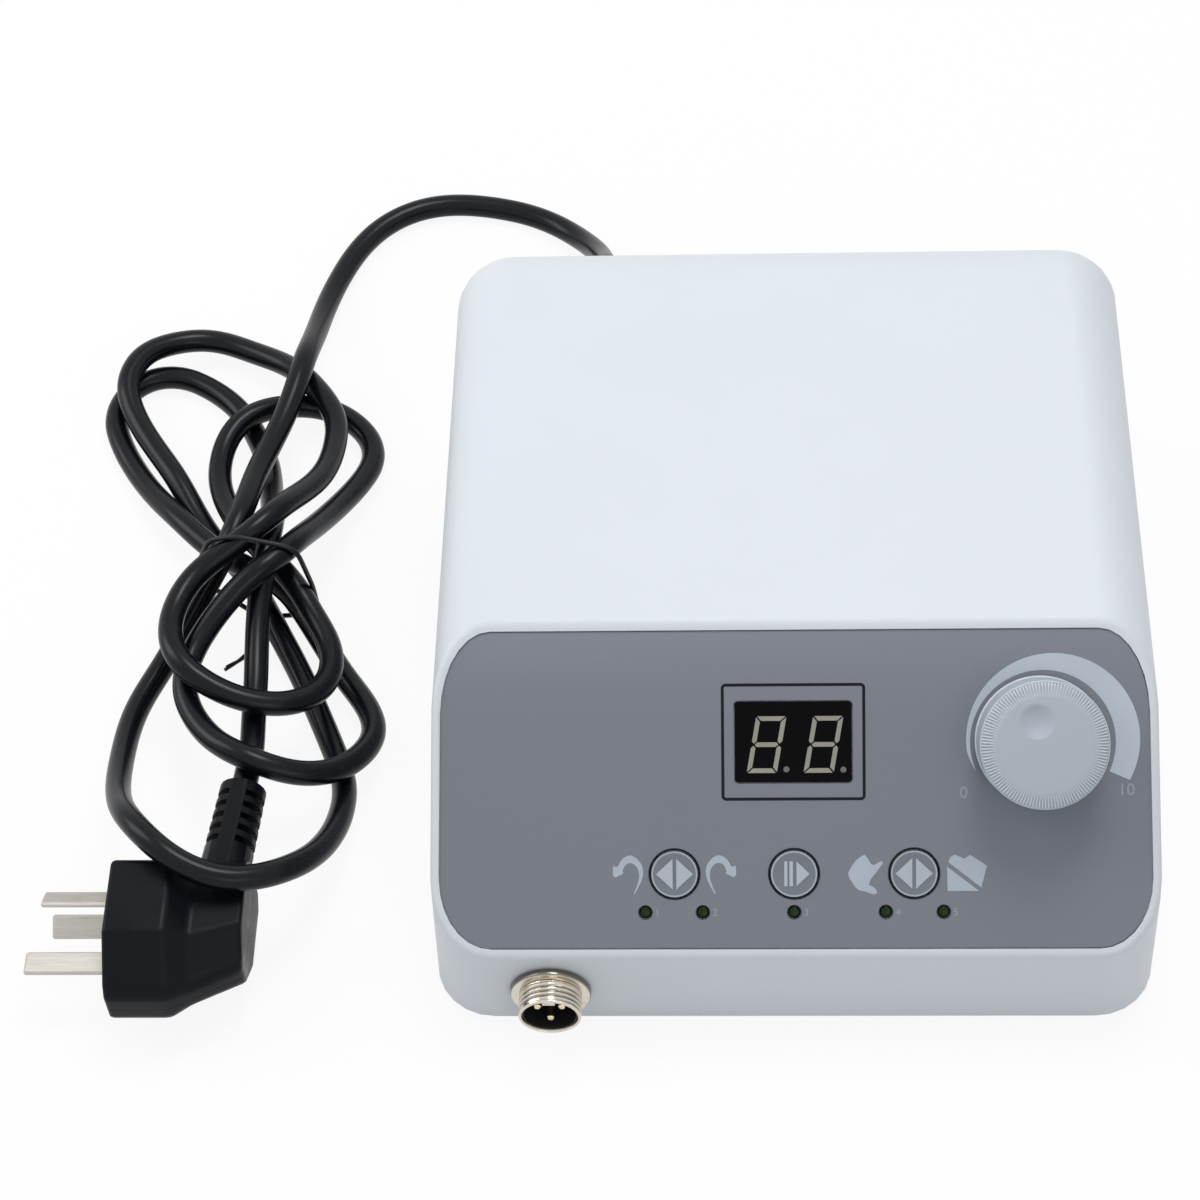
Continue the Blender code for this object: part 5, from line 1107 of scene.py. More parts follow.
@dataclass
class Assembly:
    """A group of pieces that are built and dressed together."""

    MERGE: ClassVar[float] = 2e-6
    FLAT: ClassVar[float] = math.radians(0.4)

    pieces: list[bpy.types.Object] = field(default_factory=list, init=False)

    def build(self) -> None:
        """Builds and dresses every piece of the group."""
        raise NotImplementedError

    def add(self, name: str, mesh: bpy.types.Mesh, finish: Finish, body: Body = Body.UNIT,
            stands_for: Sequence[str] = ()) -> None:
        """Makes a piece of a mesh, which rides a body and may stand for CAD nodes.

        Args:
            name: The piece's name.
            mesh: Its mesh, in the part's frame.
            finish: What it is made of.
            body: The body that it rides.
            stands_for: CAD nodes that it is shown in place of.
        """
        mesh.materials.clear()
        mesh.materials.append(finish.material())
        piece = linked(name, mesh)
        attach(piece, body.value)
        if stands_for:
            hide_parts(*stands_for)
        self.pieces.append(piece)
        log.info("%s: %s, %d faces, rides %s", type(self).__name__, name, len(mesh.polygons), body.value)

    def make(self, name: str, solid: Solid, matrix: Matrix | None, finish: Finish,
             body: Body = Body.UNIT, sharp: float = 35.0, stands_for: Sequence[str] = ()) -> None:
        """Adds a piece from a solid that was built in a local frame.

        Args:
            name: The piece's name.
            solid: Its points and faces.
            matrix: The local frame, or none for the part's own.
            finish: What it is made of.
            body: The body that it rides.
            sharp: Edges that turn by more degrees than this stay sharp.
            stands_for: CAD nodes that it is shown in place of.
        """
        self.add(name, solid.mesh(name, matrix, sharp), finish, body, stands_for)

    def dress(self, node: str, finish: Finish) -> None:
        """Gives a CAD node, which keeps its own mesh, a finish."""
        data = frame["nodes"][node].data
        data.materials.clear()
        data.materials.append(finish.material())
        log.info("%s: CAD node %s wears %s", type(self).__name__, node, finish.name)

    def smooth(self, node: str, finish: Finish, body: Body = Body.UNIT, sharp: float = 32.0) -> None:
        """Shows a CAD node as a merged copy with smooth round faces.

        Args:
            node: The CAD node's name.
            finish: What it is made of.
            body: The body that it rides.
            sharp: Edges that turn by more degrees than this stay sharp.
        """
        mesh = bpy.data.meshes.new(node + "_looks")
        with reworked(frame["nodes"][node].data, mesh) as bm:
            bmesh.ops.remove_doubles(bm, verts=bm.verts, dist=self.MERGE)
            bmesh.ops.dissolve_limit(bm, angle_limit=self.FLAT, verts=bm.verts, edges=bm.edges)
        soften(mesh, sharp)
        weighed = baked(mesh, "WEIGHTED_NORMAL", keep_sharp=True)
        self.add(node + "_shown", weighed, finish, body, (node,))


@dataclass
class CordRoute:
    """The way the cord lies: over the floor, round its hank and into the plug.

    Each station is a point's X and Y in millimetres and its rank, then its least height
    where that isn't the floor's. Where two runs cross, the higher rank lies on top.
    """

    diameter: float = 0.0062
    lift_gap: float = 0.0021
    step: float = 0.0040
    sag: float = 0.00010
    passes: int = 1500
    smooth_passes: int = 3
    near_steps: int = 4
    rank_step: float = 0.5
    exit_length: float = 0.0100
    held_stations: int = 4
    spline_steps: int = 40
    floor: float = 3.1
    lead: tuple = (
        (-53, 148, 9, 18.5), (-56, 160, 9, 10.5), (-62, 171, 9, 5), (-72, 180, 9), (-88, 186, 9),
        (-108, 187, 9), (-124, 178, 9), (-134, 161, 9), (-139, 138, 9), (-141, 108, 9), (-146, 86, 9),
        (-151, 66, 9))
    hank: tuple = (
        (-154, 45, 5), (-161, 30, 5), (-167, 18, 3), (-172, 6, 1), (-178, -10, 1, 5),
        (-179, -30, 1, 12.5), (-177, -45, 1, 22.5), (-173, -56, 1, 32.5), (-167, -65, 1, 37.4),
        (-159, -72.5, 1, 37.6), (-150, -76.5, 1, 35.2), (-140, -76.5, 1, 32.4), (-130, -71, 1, 28),
        (-123.5, -61, 1, 20), (-120, -47, 1, 10), (-120, -32, 1), (-124, -19, 1), (-133, 2, 1),
        (-140, 16, 1, 4), (-147, 29, 1, 5), (-155, 43, 1, 4.5), (-165, 55, 1), (-176, 73, 3),
        (-187, 90, 5), (-194, 104, 6), (-194, 115, 6), (-187, 124, 6), (-173, 129, 6), (-159, 124, 6),
        (-147, 116, 6), (-137, 103, 6), (-131, 92, 6), (-130, 80, 6), (-132, 65, 6), (-138, 50, 7),
        (-145, 37, 7), (-154, 30, 7), (-162, 24, 7), (-167, 15, 7), (-168, 4, 7), (-164, -6, 7),
        (-156, -12, 7), (-146, -15, 7), (-136, -14, 7), (-128, -8, 7), (-125, 1, 7), (-127, 11, 7),
        (-132, 20, 5), (-137, 28, 4), (-146, 38, 3.4), (-156, 53, 3.4), (-163, 69, 3.4), (-164, 81, 4),
        (-161, 91, 5), (-155, 97, 5), (-148, 101, 5), (-139, 103, 5), (-131, 101, 5), (-124, 95, 5),
        (-120, 87, 5), (-121, 78, 5), (-125, 67, 5), (-130, 54, 6), (-135, 39, 6), (-140, 28, 6),
        (-148, 21, 6), (-156, 13, 6), (-162, 3, 6), (-164, -8, 6), (-160, -19, 6), (-152, -29, 6),
        (-142, -35, 6), (-131, -36, 6), (-121, -32, 6), (-115, -24, 6), (-113, -14, 6), (-117, -3, 6),
        (-123, 6, 6), (-128, 14, 5), (-135, 25, 3), (-142, 33, 2.4), (-152, 38, 2.3), (-164, 47, 2.3),
        (-178, 63, 2.3), (-189, 79, 3), (-196, 92, 3), (-199, 104, 3), (-196, 113, 3), (-188, 118.5, 3),
        (-178, 116.5, 3), (-169, 111, 3), (-161, 103, 3), (-155, 92, 3), (-150, 78, 3), (-147, 62, 3.4),
        (-144, 44, 4.5))
    tail: tuple = (
        (-145, 29, 4.5), (-146, 18, 4.5), (-146, 7, 2), (-145.5, -4, 2, 4), (-145, -17, 2, 10.5))

    def spline(self, stations: np.ndarray) -> tuple[np.ndarray, np.ndarray]:
        """A natural cubic spline through the stations.

        Args:
            stations: One row per station.

        Returns:
            The curve at even steps, and each station's distance along it.
        """
        count = len(stations)
        chords = np.linalg.norm(np.diff(stations[:, :2], axis=0), axis=1)
        knots = np.concatenate([[0], np.cumsum(np.sqrt(chords))])
        gaps = np.diff(knots)
        system, target = np.zeros((count, count)), np.zeros(stations.shape)
        system[0, 0] = system[-1, -1] = 1
        for index in range(1, count - 1):
            before, after = gaps[index - 1], gaps[index]
            system[index, index - 1:index + 2] = before, 2 * (before + after), after
            slopes = np.diff(stations[index - 1:index + 2], axis=0)
            target[index] = 6 * (slopes[1] / after - slopes[0] / before)
        bends = np.linalg.solve(system, target)
        fine = np.linspace(0, knots[-1], count * self.spline_steps)
        span = np.clip(np.searchsorted(knots, fine, side="right") - 1, 0, count - 2)
        left, right = (knots[span + 1] - fine)[:, None], (fine - knots[span])[:, None]
        width = gaps[span][:, None]
        curve = (bends[span] * left ** 3 + bends[span + 1] * right ** 3) / (6 * width)
        curve += (stations[span] / width - bends[span] * width / 6) * left
        curve += (stations[span + 1] / width - bends[span + 1] * width / 6) * right
        far = travel(curve[:, :2])
        even = np.linspace(0, far[-1], round(far[-1] / self.step) + 1)
        return columns_at(even, far, curve), np.interp(knots, fine, far)

    def settle(self, route: np.ndarray, held: int) -> np.ndarray:
        """Heights at which the cord lies on the floor and over whatever ranks lower.

        Args:
            route: The plan curve with its least heights and ranks.
            held: How many first points keep their own height.

        Returns:
            One height per point.
        """
        count = len(route)
        floor, rank = np.maximum(route[:, 2], self.diameter / 2), route[:, 3]
        reach = self.diameter + self.lift_gap
        distance = np.linalg.norm(route[:, None, :2] - route[None, :, :2], axis=2)
        apart = abs(np.arange(count)[:, None] - np.arange(count)) > self.near_steps
        over = rank[:, None] > rank[None] + self.rank_step
        upper, lower = np.nonzero((distance < reach) & over & apart)
        lift = np.sqrt(reach ** 2 - distance[upper, lower] ** 2)
        heights = floor.copy()
        for _ in range(self.passes):
            relaxed = heights.copy()
            relaxed[1:-1] = (heights[:-2] + heights[2:]) / 2 - self.sag
            relaxed = np.maximum(relaxed, floor)
            relaxed[[0, -1]] = floor[[0, -1]]
            np.maximum.at(relaxed, upper, relaxed[lower] + lift)
            heights = relaxed
        for _ in range(self.smooth_passes):
            heights = np.maximum(calmed(heights, 1), floor)
            heights[[0, -1]] = floor[[0, -1]]
        heights[:held] = floor[:held]
        return heights

    def lay(self, start: Vector, outward: Vector, finish: Vector, finish_outward: Vector) -> np.ndarray:
        """Lays the cord between two fittings.

        Args:
            start: Where it leaves the housing.
            outward: The way it leaves.
            finish: Where it enters the plug's relief.
            finish_outward: The way out of that relief.

        Returns:
            The points of its centreline.
        """
        first, last = self.lead[0][2], self.tail[-1][2]
        ends = [(*start, first), (*(start + outward * self.exit_length), first)]
        rows = ends + [(x * MM, y * MM, (height[0] if height else self.floor) * MM, rank)
                       for x, y, rank, *height in self.lead + self.hank + self.tail]
        rows += [(*(finish + finish_outward * self.exit_length), last), (*finish, last)]
        route, marks = self.spline(np.array(rows, float))
        held = round(marks[len(ends) + self.held_stations] / self.step)
        return np.column_stack([route[:, :2], self.settle(route, held)])


@dataclass
class Cord(Assembly):
    """The mains cord in one piece, and the wire tie round its waist."""

    start: Point3 = (-0.0520, 0.128088, 0.024873)
    plug_root: Point3 = (0.0262, 0.01035, 0.0)
    plug_yaw: float = -6.0
    relief_length: float = 0.0278
    thickness: float = 0.0068
    ease_passes: int = 6
    bend_passes: int = 200
    bend_radius: float = 0.016
    sides: int = 20
    tie_sides: int = 12
    end_sides: int = 8
    sharp: float = 60.0
    ring_step: float = 0.0016
    tie_x: float = -0.1455
    tie_y: float = 0.0295
    tie_lean: float = -0.12
    tie_band: float = 0.0022
    tie_radius: float = 0.0007
    tie_points: int = 96
    tie_passes: int = 4
    tie_slack: float = 0.0002
    end_points: int = 60
    end_passes: int = 6
    end_twist: Point2 = (-math.pi, 0.4)
    end_lay: Point3 = (0.6, 0.8, 1.0)
    end_offset: float = 0.7
    end_radius: float = 0.75
    tie_end: tuple[Point3, ...] = (
        (-0.1475, 0.0290, 0.0016), (-0.1490, 0.0215, 0.0013), (-0.1510, 0.0170, 0.0013),
        (-0.1535, 0.0140, 0.0015), (-0.1572, 0.0108, 0.0020))
    route: CordRoute = field(default_factory=CordRoute)
    path: np.ndarray = field(default_factory=lambda: np.zeros((0, 3)), init=False)

    def build(self) -> None:
        """Builds the tube and the tie."""
        yaw = Matrix.Rotation(math.radians(self.plug_yaw), 4, "Z")
        along = yaw @ Matrix.Rotation(-math.pi / 2, 4, "X")
        tip = Site.PLUG.value.moved(*self.plug_root) @ along @ Vector((0, 0, self.relief_length))
        way = along.to_3x3() @ Vector(UP)
        laid = self.route.lay(Vector(self.start), Vector(REAR_AXIS), tip, way)
        self.path = calmed(self._resample(laid), self.ease_passes)
        for _ in range(self.bend_passes):
            turns = self.path[:-2] - 2 * self.path[1:-1] + self.path[2:]
            tight = np.linalg.norm(turns, axis=1) > self.ring_step ** 2 / self.bend_radius
            self.path[1:-1] += turns * tight[:, None] / 4
        radius = self.thickness / 2
        self.path[:, 2] = np.maximum(self.path[:, 2] + radius - self.route.diameter / 2, radius)
        self.add("mains_cord", self._tube(), Look.CORD, stands_for=("cord_lead", "cord_hank", "cord_tail"))
        self._build_tie()

    def declare(self, plug: "Plug") -> None:
        """Logs the cord's length."""
        length = float(travel(self.path)[-1])
        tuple(self.start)
        log.info("Cord: %.3f m long", length)

    def _resample(self, points: np.ndarray) -> np.ndarray:
        """A smooth curve through the laid points, at the rings' own step."""
        before = np.vstack([2 * points[0] - points[1], points[:-1]])
        after = np.vstack([points[1:], 2 * points[-1] - points[-2]])
        tangents = (after - before) / 2
        far = travel(points)
        places = np.linspace(0, far[-1], round(far[-1] / self.ring_step) + 1)
        span = np.clip(np.searchsorted(far, places, side="right") - 1, 0, len(points) - 2)
        share = ((places - far[span]) / (far[span + 1] - far[span]))[:, None]
        square, cube = share ** 2, share ** 3
        return ((2 * cube - 3 * square + 1) * points[span] + (cube - 2 * square + share) * tangents[span]
                + (3 * square - 2 * cube) * points[span + 1] + (cube - square) * tangents[span + 1])

    def _tube(self) -> bpy.types.Mesh:
        """The tube, with coordinates round and along it in its own UV map."""
        rings = tube_rings(self.path, self.thickness / 2, self.sides)
        count = len(rings)
        far = travel(self.path)
        faces, places = [], []
        for ring in range(count - 1):
            for side in range(self.sides):
                after = (side + 1) % self.sides
                faces.append((ring * self.sides + side, ring * self.sides + after,
                              (ring + 1) * self.sides + after, (ring + 1) * self.sides + side))
                low, high = side / self.sides, (side + 1) / self.sides
                places += [(low, far[ring]), (high, far[ring]), (high, far[ring + 1]), (low, far[ring + 1])]
        for ring, step in ((0, -1), (count - 1, 1)):
            faces.append(tuple(ring * self.sides + side for side in range(self.sides))[::step])
            places += [(0.5, far[ring])] * self.sides
        mesh = bpy.data.meshes.new("mains_cord")
        mesh.from_pydata(rings.reshape(-1, 3), [], faces)
        layer = mesh.uv_layers.new(name="along")
        layer.data.foreach_set("uv", np.array(places, float).ravel())
        bm = bmesh.new()
        bm.from_mesh(mesh)
        bmesh.ops.recalc_face_normals(bm, faces=bm.faces)
        bm.to_mesh(mesh)
        bm.free()
        soften(mesh, self.sharp)
        return mesh

    def _build_tie(self) -> None:
        """Winds the wire round the waist and lays its flat twisted end on the floor."""
        line = self.tie_y + self.tie_lean * (self.path[:, 0] - self.tie_x)
        band = self.path[abs(self.path[:, 1] - line) < self.tie_band][:, [0, 2]]
        reach = self.thickness / 2 + self.tie_radius + self.tie_slack
        steps = 4 * self.tie_points
        angles = FULL_TURN * np.arange(steps) / steps
        ways = np.stack([np.cos(angles), np.sin(angles)], 1)
        hull = band[np.argmax(ways @ band.T, axis=1)] + ways * reach
        hull[:, 1] = np.maximum(hull[:, 1], self.tie_radius + self.tie_slack)
        around = np.vstack([hull, hull[:1]])
        far = travel(around)
        ring = columns_at(np.linspace(0, far[-1], self.tie_points, endpoint=False), far, around)
        for _ in range(self.tie_passes):
            ring = (np.roll(ring, 1, 0) + 2 * ring + np.roll(ring, -1, 0)) / 4
        rise = self.tie_y + self.tie_lean * (ring[:, 0] - self.tie_x)
        turn = np.stack([ring[:, 0], rise, ring[:, 1]], 1)
        wire = Solid().tube(turn, self.tie_radius, self.tie_sides, closed=True)
        self.make("tie_turn", wire, None, Look.TIE, sharp=self.sharp, stands_for=("cord_tie",))
        knots = np.arange(len(self.tie_end))
        places = np.linspace(0, knots[-1], self.end_points)
        middle = calmed(columns_at(places, knots, np.array(self.tie_end)), self.end_passes)
        for index, half in enumerate((0.0, math.pi), 1):
            angle = half + np.linspace(*self.end_twist, self.end_points)
            turn = np.stack([np.cos(angle), np.cos(angle), np.sin(angle)], 1) * self.end_lay
            strand = middle + turn * self.tie_radius * self.end_offset
            wire = Solid().tube(strand, self.tie_radius * self.end_radius, self.end_sides)
            self.make(f"tie_end_{index}", wire, None, Look.TIE, sharp=self.sharp)


@dataclass
class Plug(Assembly):
    """The mains plug with its bend relief and its three flat pins."""

    def build(self) -> None:
        """Dresses the moulded body and the pins."""
        self.smooth("plug_body", Look.PLUG, sharp=40)
        for name in ("plug_line_pin", "plug_neutral_pin", "plug_earth_pin"):
            self.smooth(name, Look.BLADE)


@dataclass
class Housing(Assembly):
    """The moulded upper housing and the ribbed gland in its rear wall."""

    def build(self) -> None:
        """Shows both with smooth rounded edges."""
        self.smooth("upper_housing", Look.HOUSING, sharp=38)
        self.smooth("cord_gland", Look.GLAND, sharp=40)


@dataclass
class Panel(Assembly):
    """The sloping panel: its printed film, the display and the pictograms.

    The outlines, the figures' places and sizes and the band are in millimetres. Each of
    the band's two circles is given as U, V and radius, and its range in degrees.
    """

    display_v: float = 53.8988 * MM
    frame_size: Point2 = (35.7 * MM, 29.15 * MM)
    frame_line: float = 0.75 * MM
    frame_radius: float = 1.2 * MM
    digit_size: Point2 = (7.5 * MM, 14.1 * MM)
    digit_corner: Point2 = (-11.60 * MM, 46.20 * MM)
    digit_pitch: float = 14.08 * MM
    digit_slant: float = 10.0
    segment_width: float = 1.15 * MM
    segment_gap: float = 0.26 * MM
    segment_rise: float = 0.05 * MM
    point_radius: float = 0.74 * MM
    point_sides: int = 24
    points: tuple[Point2, ...] = ((-1.72 * MM, 47.07 * MM), (12.36 * MM, 46.95 * MM))
    key_border: Point2 = (6.30 * MM, 6.48 * MM)
    dial_ends: tuple[tuple[str, Point2], ...] = (("0", (42.0, 41.0)), ("10", (82.0, 41.6)))
    dial_size: float = 4.2
    lamp_shift: Point2 = (3.0, -0.1)
    lamp_size: float = 2.6
    arrow: tuple[Point2, ...] = (
        (-44.99, 23.43), (-44.03, 22.57), (-42.68, 25.00), (-40.71, 25.92), (-38.99, 24.99),
        (-37.74, 23.36), (-37.41, 21.28), (-37.89, 19.43), (-38.83, 17.58), (-39.72, 15.85),
        (-39.88, 16.19), (-39.29, 17.58), (-38.70, 19.20), (-38.45, 20.59), (-38.67, 22.21),
        (-39.47, 23.37), (-40.61, 23.95), (-42.00, 23.38), (-42.75, 21.64), (-42.20, 21.25),
        (-45.03, 19.96))
    hand: tuple[Point2, ...] = (
        (13.14, 20.64), (14.16, 22.80), (15.56, 24.58), (17.33, 25.77), (17.83, 25.46),
        (19.41, 22.84), (21.36, 24.13), (21.99, 23.92), (21.86, 23.29), (18.05, 18.46),
        (20.06, 17.44), (20.63, 16.17), (19.67, 15.79), (17.03, 16.74), (15.64, 16.94))
    foot: tuple[Point2, ...] = (
        (38.11, 23.87), (38.74, 25.14), (39.75, 25.69), (42.13, 24.67), (43.52, 25.63),
        (47.66, 22.95), (46.26, 17.49))
    pedal: tuple[Point2, ...] = ((37.85, 22.68), (37.95, 16.68), (45.68, 16.65))
    band_inner: tuple[float, float, float] = (61.5, 53.5, 17.9)
    band_outer: tuple[float, float, float] = (64.0, 54.2, 21.35)
    band_range: Point2 = (-23.9, 203.0)
    band_steps: int = 90
    band_taper: Point2 = (0.04, 14.0)

    def build(self) -> None:
        """Dresses the film and window, then adds everything printed or shown on them."""
        self.dress("front_overlay", Look.PANEL)
        self.dress("display_window", Look.WINDOW)
        self._build_display()
        self._build_band()
        marks = (("arrow_left", eased(millimetres(self.arrow))),
                 ("arrow_right", eased(millimetres(self.arrow, mirror=-KEY_SPACING / MM))),
                 ("hand_mark", eased(millimetres(self.hand))), ("foot_mark", millimetres(self.foot)),
                 ("pedal_mark", millimetres(self.pedal)))
        for name, outline in marks:
            self._print(name, Solid().prism(outline, *self._ink()), Look.INK_PALE)
        for index, side in enumerate((-1, 0, 1), 1):
            center = (side * KEY_SPACING, KEY_V)
            inner, outer = (circle(radius, center=center) for radius in self.key_border)
            self._print(f"key_border_{index}", Solid().band(outer, inner, *self._ink()), Look.INK_DARK)
        self._build_figures()

    @staticmethod
    def _ink(rise: float = INK_HEIGHT) -> Point2:
        """The heights between which ink lies on the film."""
        return FILM_TOP - INK_SINK, FILM_TOP + rise

    def _print(self, name: str, solid: Solid, finish: Finish) -> None:
        """Adds a flat printed shape."""
        self.make(name, solid, Site.SLOPE.value.matrix, finish)

    def _build_display(self) -> None:
        """The frame line, the two digits' segments and their points."""
        middle = (0.0, self.display_v)
        width, height = self.frame_size
        line = self.frame_line
        outer = rounded(width, height, self.frame_radius, middle)
        inner = rounded(width - 2 * line, height - 2 * line, self.frame_radius - line, middle)
        self._print("display_frame", Solid().band(outer, inner, *self._ink()), Look.INK_DARK)
        for digit in range(2):
            solid = Solid()
            for outline in self._segments(digit):
                solid.prism(outline, *self._ink(self.segment_rise))
            self._print(f"digit_{digit + 1}", solid, Look.SEGMENT)
            point = circle(self.point_radius, self.point_sides, self.points[digit])
            self._print(f"digit_point_{digit + 1}", Solid().prism(point, *self._ink()), Look.POINT)

    def _segments(self, digit: int) -> list[list[Point2]]:
        """The outlines of one digit's seven bars, with mitred ends and a slant."""
        width, height = self.digit_size
        bar, gap = self.segment_width, self.segment_gap
        half, thin = height / 2, bar / 2
        near, far = bar + gap, width - bar - gap
        top = [(gap, height), (width - gap, height), (far, height - bar), (near, height - bar)]
        middle = [(thin + gap, half), (near, half + thin), (far, half + thin),
                  (width - thin - gap, half), (far, half - thin), (near, half - thin)]
        upper = [(0.0, height - gap), (bar, height - near), (bar, half + thin + gap),
                 (thin, half + gap), (0.0, half + thin + gap)]
        bars = [top, middle, upper, [(width - x, y) for x, y in upper]]
        bars += [[(x, height - y) for x, y in outline] for outline in (top, bars[2], bars[3])]
        slant = math.tan(math.radians(self.digit_slant))
        left, low = self.digit_corner
        return [[(left + digit * self.digit_pitch + x + slant * y, low + y) for x, y in outline]
                for outline in bars]

    def _build_band(self) -> None:
        """The pale band round the dial: wide at its high end, tapering to a point."""
        inner_u, inner_v, inner_radius = self.band_inner
        outer_u, outer_v, outer_radius = self.band_outer
        start, end = self.band_range
        least, steepness = self.band_taper
        inner, outer = [], []
        for step in range(self.band_steps + 1):
            share = step / self.band_steps
            angle = math.radians(start + (end - start) * share)
            across, up = math.cos(angle), math.sin(angle)
            toward = (inner_u - outer_u) * across + (inner_v - outer_v) * up
            square = (inner_u - outer_u) ** 2 + (inner_v - outer_v) ** 2
            reach = -toward + math.sqrt(toward ** 2 - square + outer_radius ** 2)
            reach = inner_radius + (reach - inner_radius) * min(1.0, (1 - share) * steepness + least)
            inner.append((inner_u + inner_radius * across, inner_v + inner_radius * up))
            outer.append((inner_u + reach * across, inner_v + reach * up))
        outline = millimetres(inner + outer[::-1])
        self._print("speed_band", Solid().prism(outline, *self._ink()), Look.INK_BAND)

    def _build_figures(self) -> None:
        """Plain figures at the dial's ends and beside the lamps."""
        across, up = self.lamp_shift
        figures = [(text, place, self.dial_size) for text, place in self.dial_ends]
        figures += [(str(index), (u / MM + across, v / MM + up), self.lamp_size)
                    for index, (u, v) in enumerate(LAMP_UV, 1)]
        for index, (text, (u, v), size) in enumerate(figures, 1):
            matrix = Site.SLOPE.value.moved(u * MM, v * MM)
            mesh = lettering(text, size * MM, matrix, FILM_TOP - INK_SINK)
            self.add(f"figure_{index}", mesh, Look.INK_FAINT)


@dataclass
class Keys(Assembly):
    """The three round keys, each riding its own button.

    Pairs of heights are measured from the cap's rim. Tables of points are in millimetres.
    """

    radius: float = 6.0 * MM
    proud: float = 0.3 * MM
    dish_radius: float = 4.9 * MM
    dish_depth: float = 0.22 * MM
    dish_shares: tuple[float, ...] = (0.0, 0.2, 0.4, 0.6, 0.8, 0.9, 1.0)
    edge: float = 0.3 * MM
    edge_turns: tuple[float, ...] = (0.0, 0.4, 0.8, 1.2, math.pi / 2)
    stem: tuple[Point2, ...] = ((6.0, -3.5), (7.4, -3.5), (7.4, -4.5), (2.4, -4.5), (2.4, -5.5), (0.0, -5.5))
    ring: Point2 = (5.32 * MM, 5.74 * MM)
    ring_heights: Point2 = (-0.05 * MM, 0.03 * MM)
    rim: Point2 = (5.75 * MM, 5.98 * MM)
    rim_heights: Point2 = (-0.12 * MM, 0.02 * MM)
    mark_heights: Point2 = (-0.24 * MM, -0.02 * MM)
    sides: int = 72
    sharp: float = 30.0
    arrow: tuple[Point2, ...] = ((0.46, 3.85), (4.6, 0.0), (0.46, -3.85))
    play: tuple[Point2, ...] = ((0.6, 3.1), (3.85, 0.0), (0.6, -3.1))
    bars: tuple[Point2, ...] = ((-2.45, -1.65), (-1.17, -0.28))
    bar_half: float = 3.1

    def build(self) -> None:
        """Builds each key with its ring and its marks."""
        arrows = [millimetres(self.arrow), millimetres(self.arrow, mirror=0.0)]
        top = self.bar_half
        bars = [[(low, top), (high, top), (high, -top), (low, -top)] for low, high in self.bars]
        self._build_key("direction_key", Body.DIRECTION, -KEY_SPACING, arrows)
        self._build_key("start_stop_key", Body.START_STOP, 0.0,
                        [millimetres(outline) for outline in (*bars, self.play)])
        self._build_key("control_mode_key", Body.MODE, KEY_SPACING, arrows)

    def _build_key(self, node: str, body: Body, u: float, marks: list[list[Point2]]) -> None:
        """Builds one key.

        Args:
            node: The CAD node that it stands for.
            body: The button that it rides.
            u: Its place across the panel.
            marks: The outlines on its cap.
        """
        cap = FILM_TOP + self.proud
        matrix = Site.SLOPE.value.moved(u, KEY_V)
        dish = [(self.dish_radius * share, cap - self.dish_depth * (1 - share ** 4))
                for share in self.dish_shares]
        edge = [(self.radius - self.edge * (1 - math.sin(turn)), cap - self.edge * (1 - math.cos(turn)))
                for turn in self.edge_turns]
        solid = Solid().lathe(dish + edge + millimetres(self.stem), self.sides)
        self.make(node + "_cap", solid, matrix, Look.KEY, body, self.sharp, (node,))
        for part, radii, heights, finish in (("_ring", self.ring, self.ring_heights, Look.KEY_RING),
                                             ("_rim", self.rim, self.rim_heights, Look.INK_DARK)):
            inner, outer = (circle(radius, self.sides) for radius in radii)
            band = Solid().band(outer, inner, *(cap + height for height in heights))
            self.make(node + part, band, matrix, finish, body)
        solid = Solid()
        for outline in marks:
            solid.prism(outline, *(cap + height for height in self.mark_heights))
        self.make(node + "_marks", solid, matrix, Look.KEY_MARK, body)


@dataclass
class Lamps(Assembly):
    """The five indicator lamps in a row under the keys."""

    radius: float = 1.4 * MM
    dome: float = 0.45 * MM
    dome_turns: tuple[float, ...] = (0.0, 0.3, 0.6, 0.9, 1.2, math.pi / 2)
    stem: tuple[Point2, ...] = ((1.4, -3.5), (1.9, -3.5), (1.9, -4.5), (0.7, -4.5), (0.7, -9.7), (0.0, -9.7))
    sides: int = 32
    seam: Point2 = (1.71 * MM, 1.84 * MM)
    seam_sides: int = 40

    def build(self) -> None:
        """Builds each lens with a low dome, and a thin dark seam round it."""
        dome = [(self.radius * math.sin(turn), FILM_TOP - self.dome * (1 - math.cos(turn)))
                for turn in self.dome_turns]
        profile = dome + millimetres(self.stem)
        inner, outer = (circle(radius, self.seam_sides) for radius in self.seam)
        for index, place in enumerate(LAMP_UV, 1):
            name, matrix = f"lamp_{index}", Site.SLOPE.value.moved(*place)
            lens = Solid().lathe(profile, self.sides)
            self.make(name + "_lens", lens, matrix, Look.LAMP, stands_for=(name,))
            seam = Solid().band(outer, inner, FILM_TOP - INK_SINK, FILM_TOP + INK_HEIGHT)
            self.make(name + "_seam", seam, matrix, Look.INK_DARK)


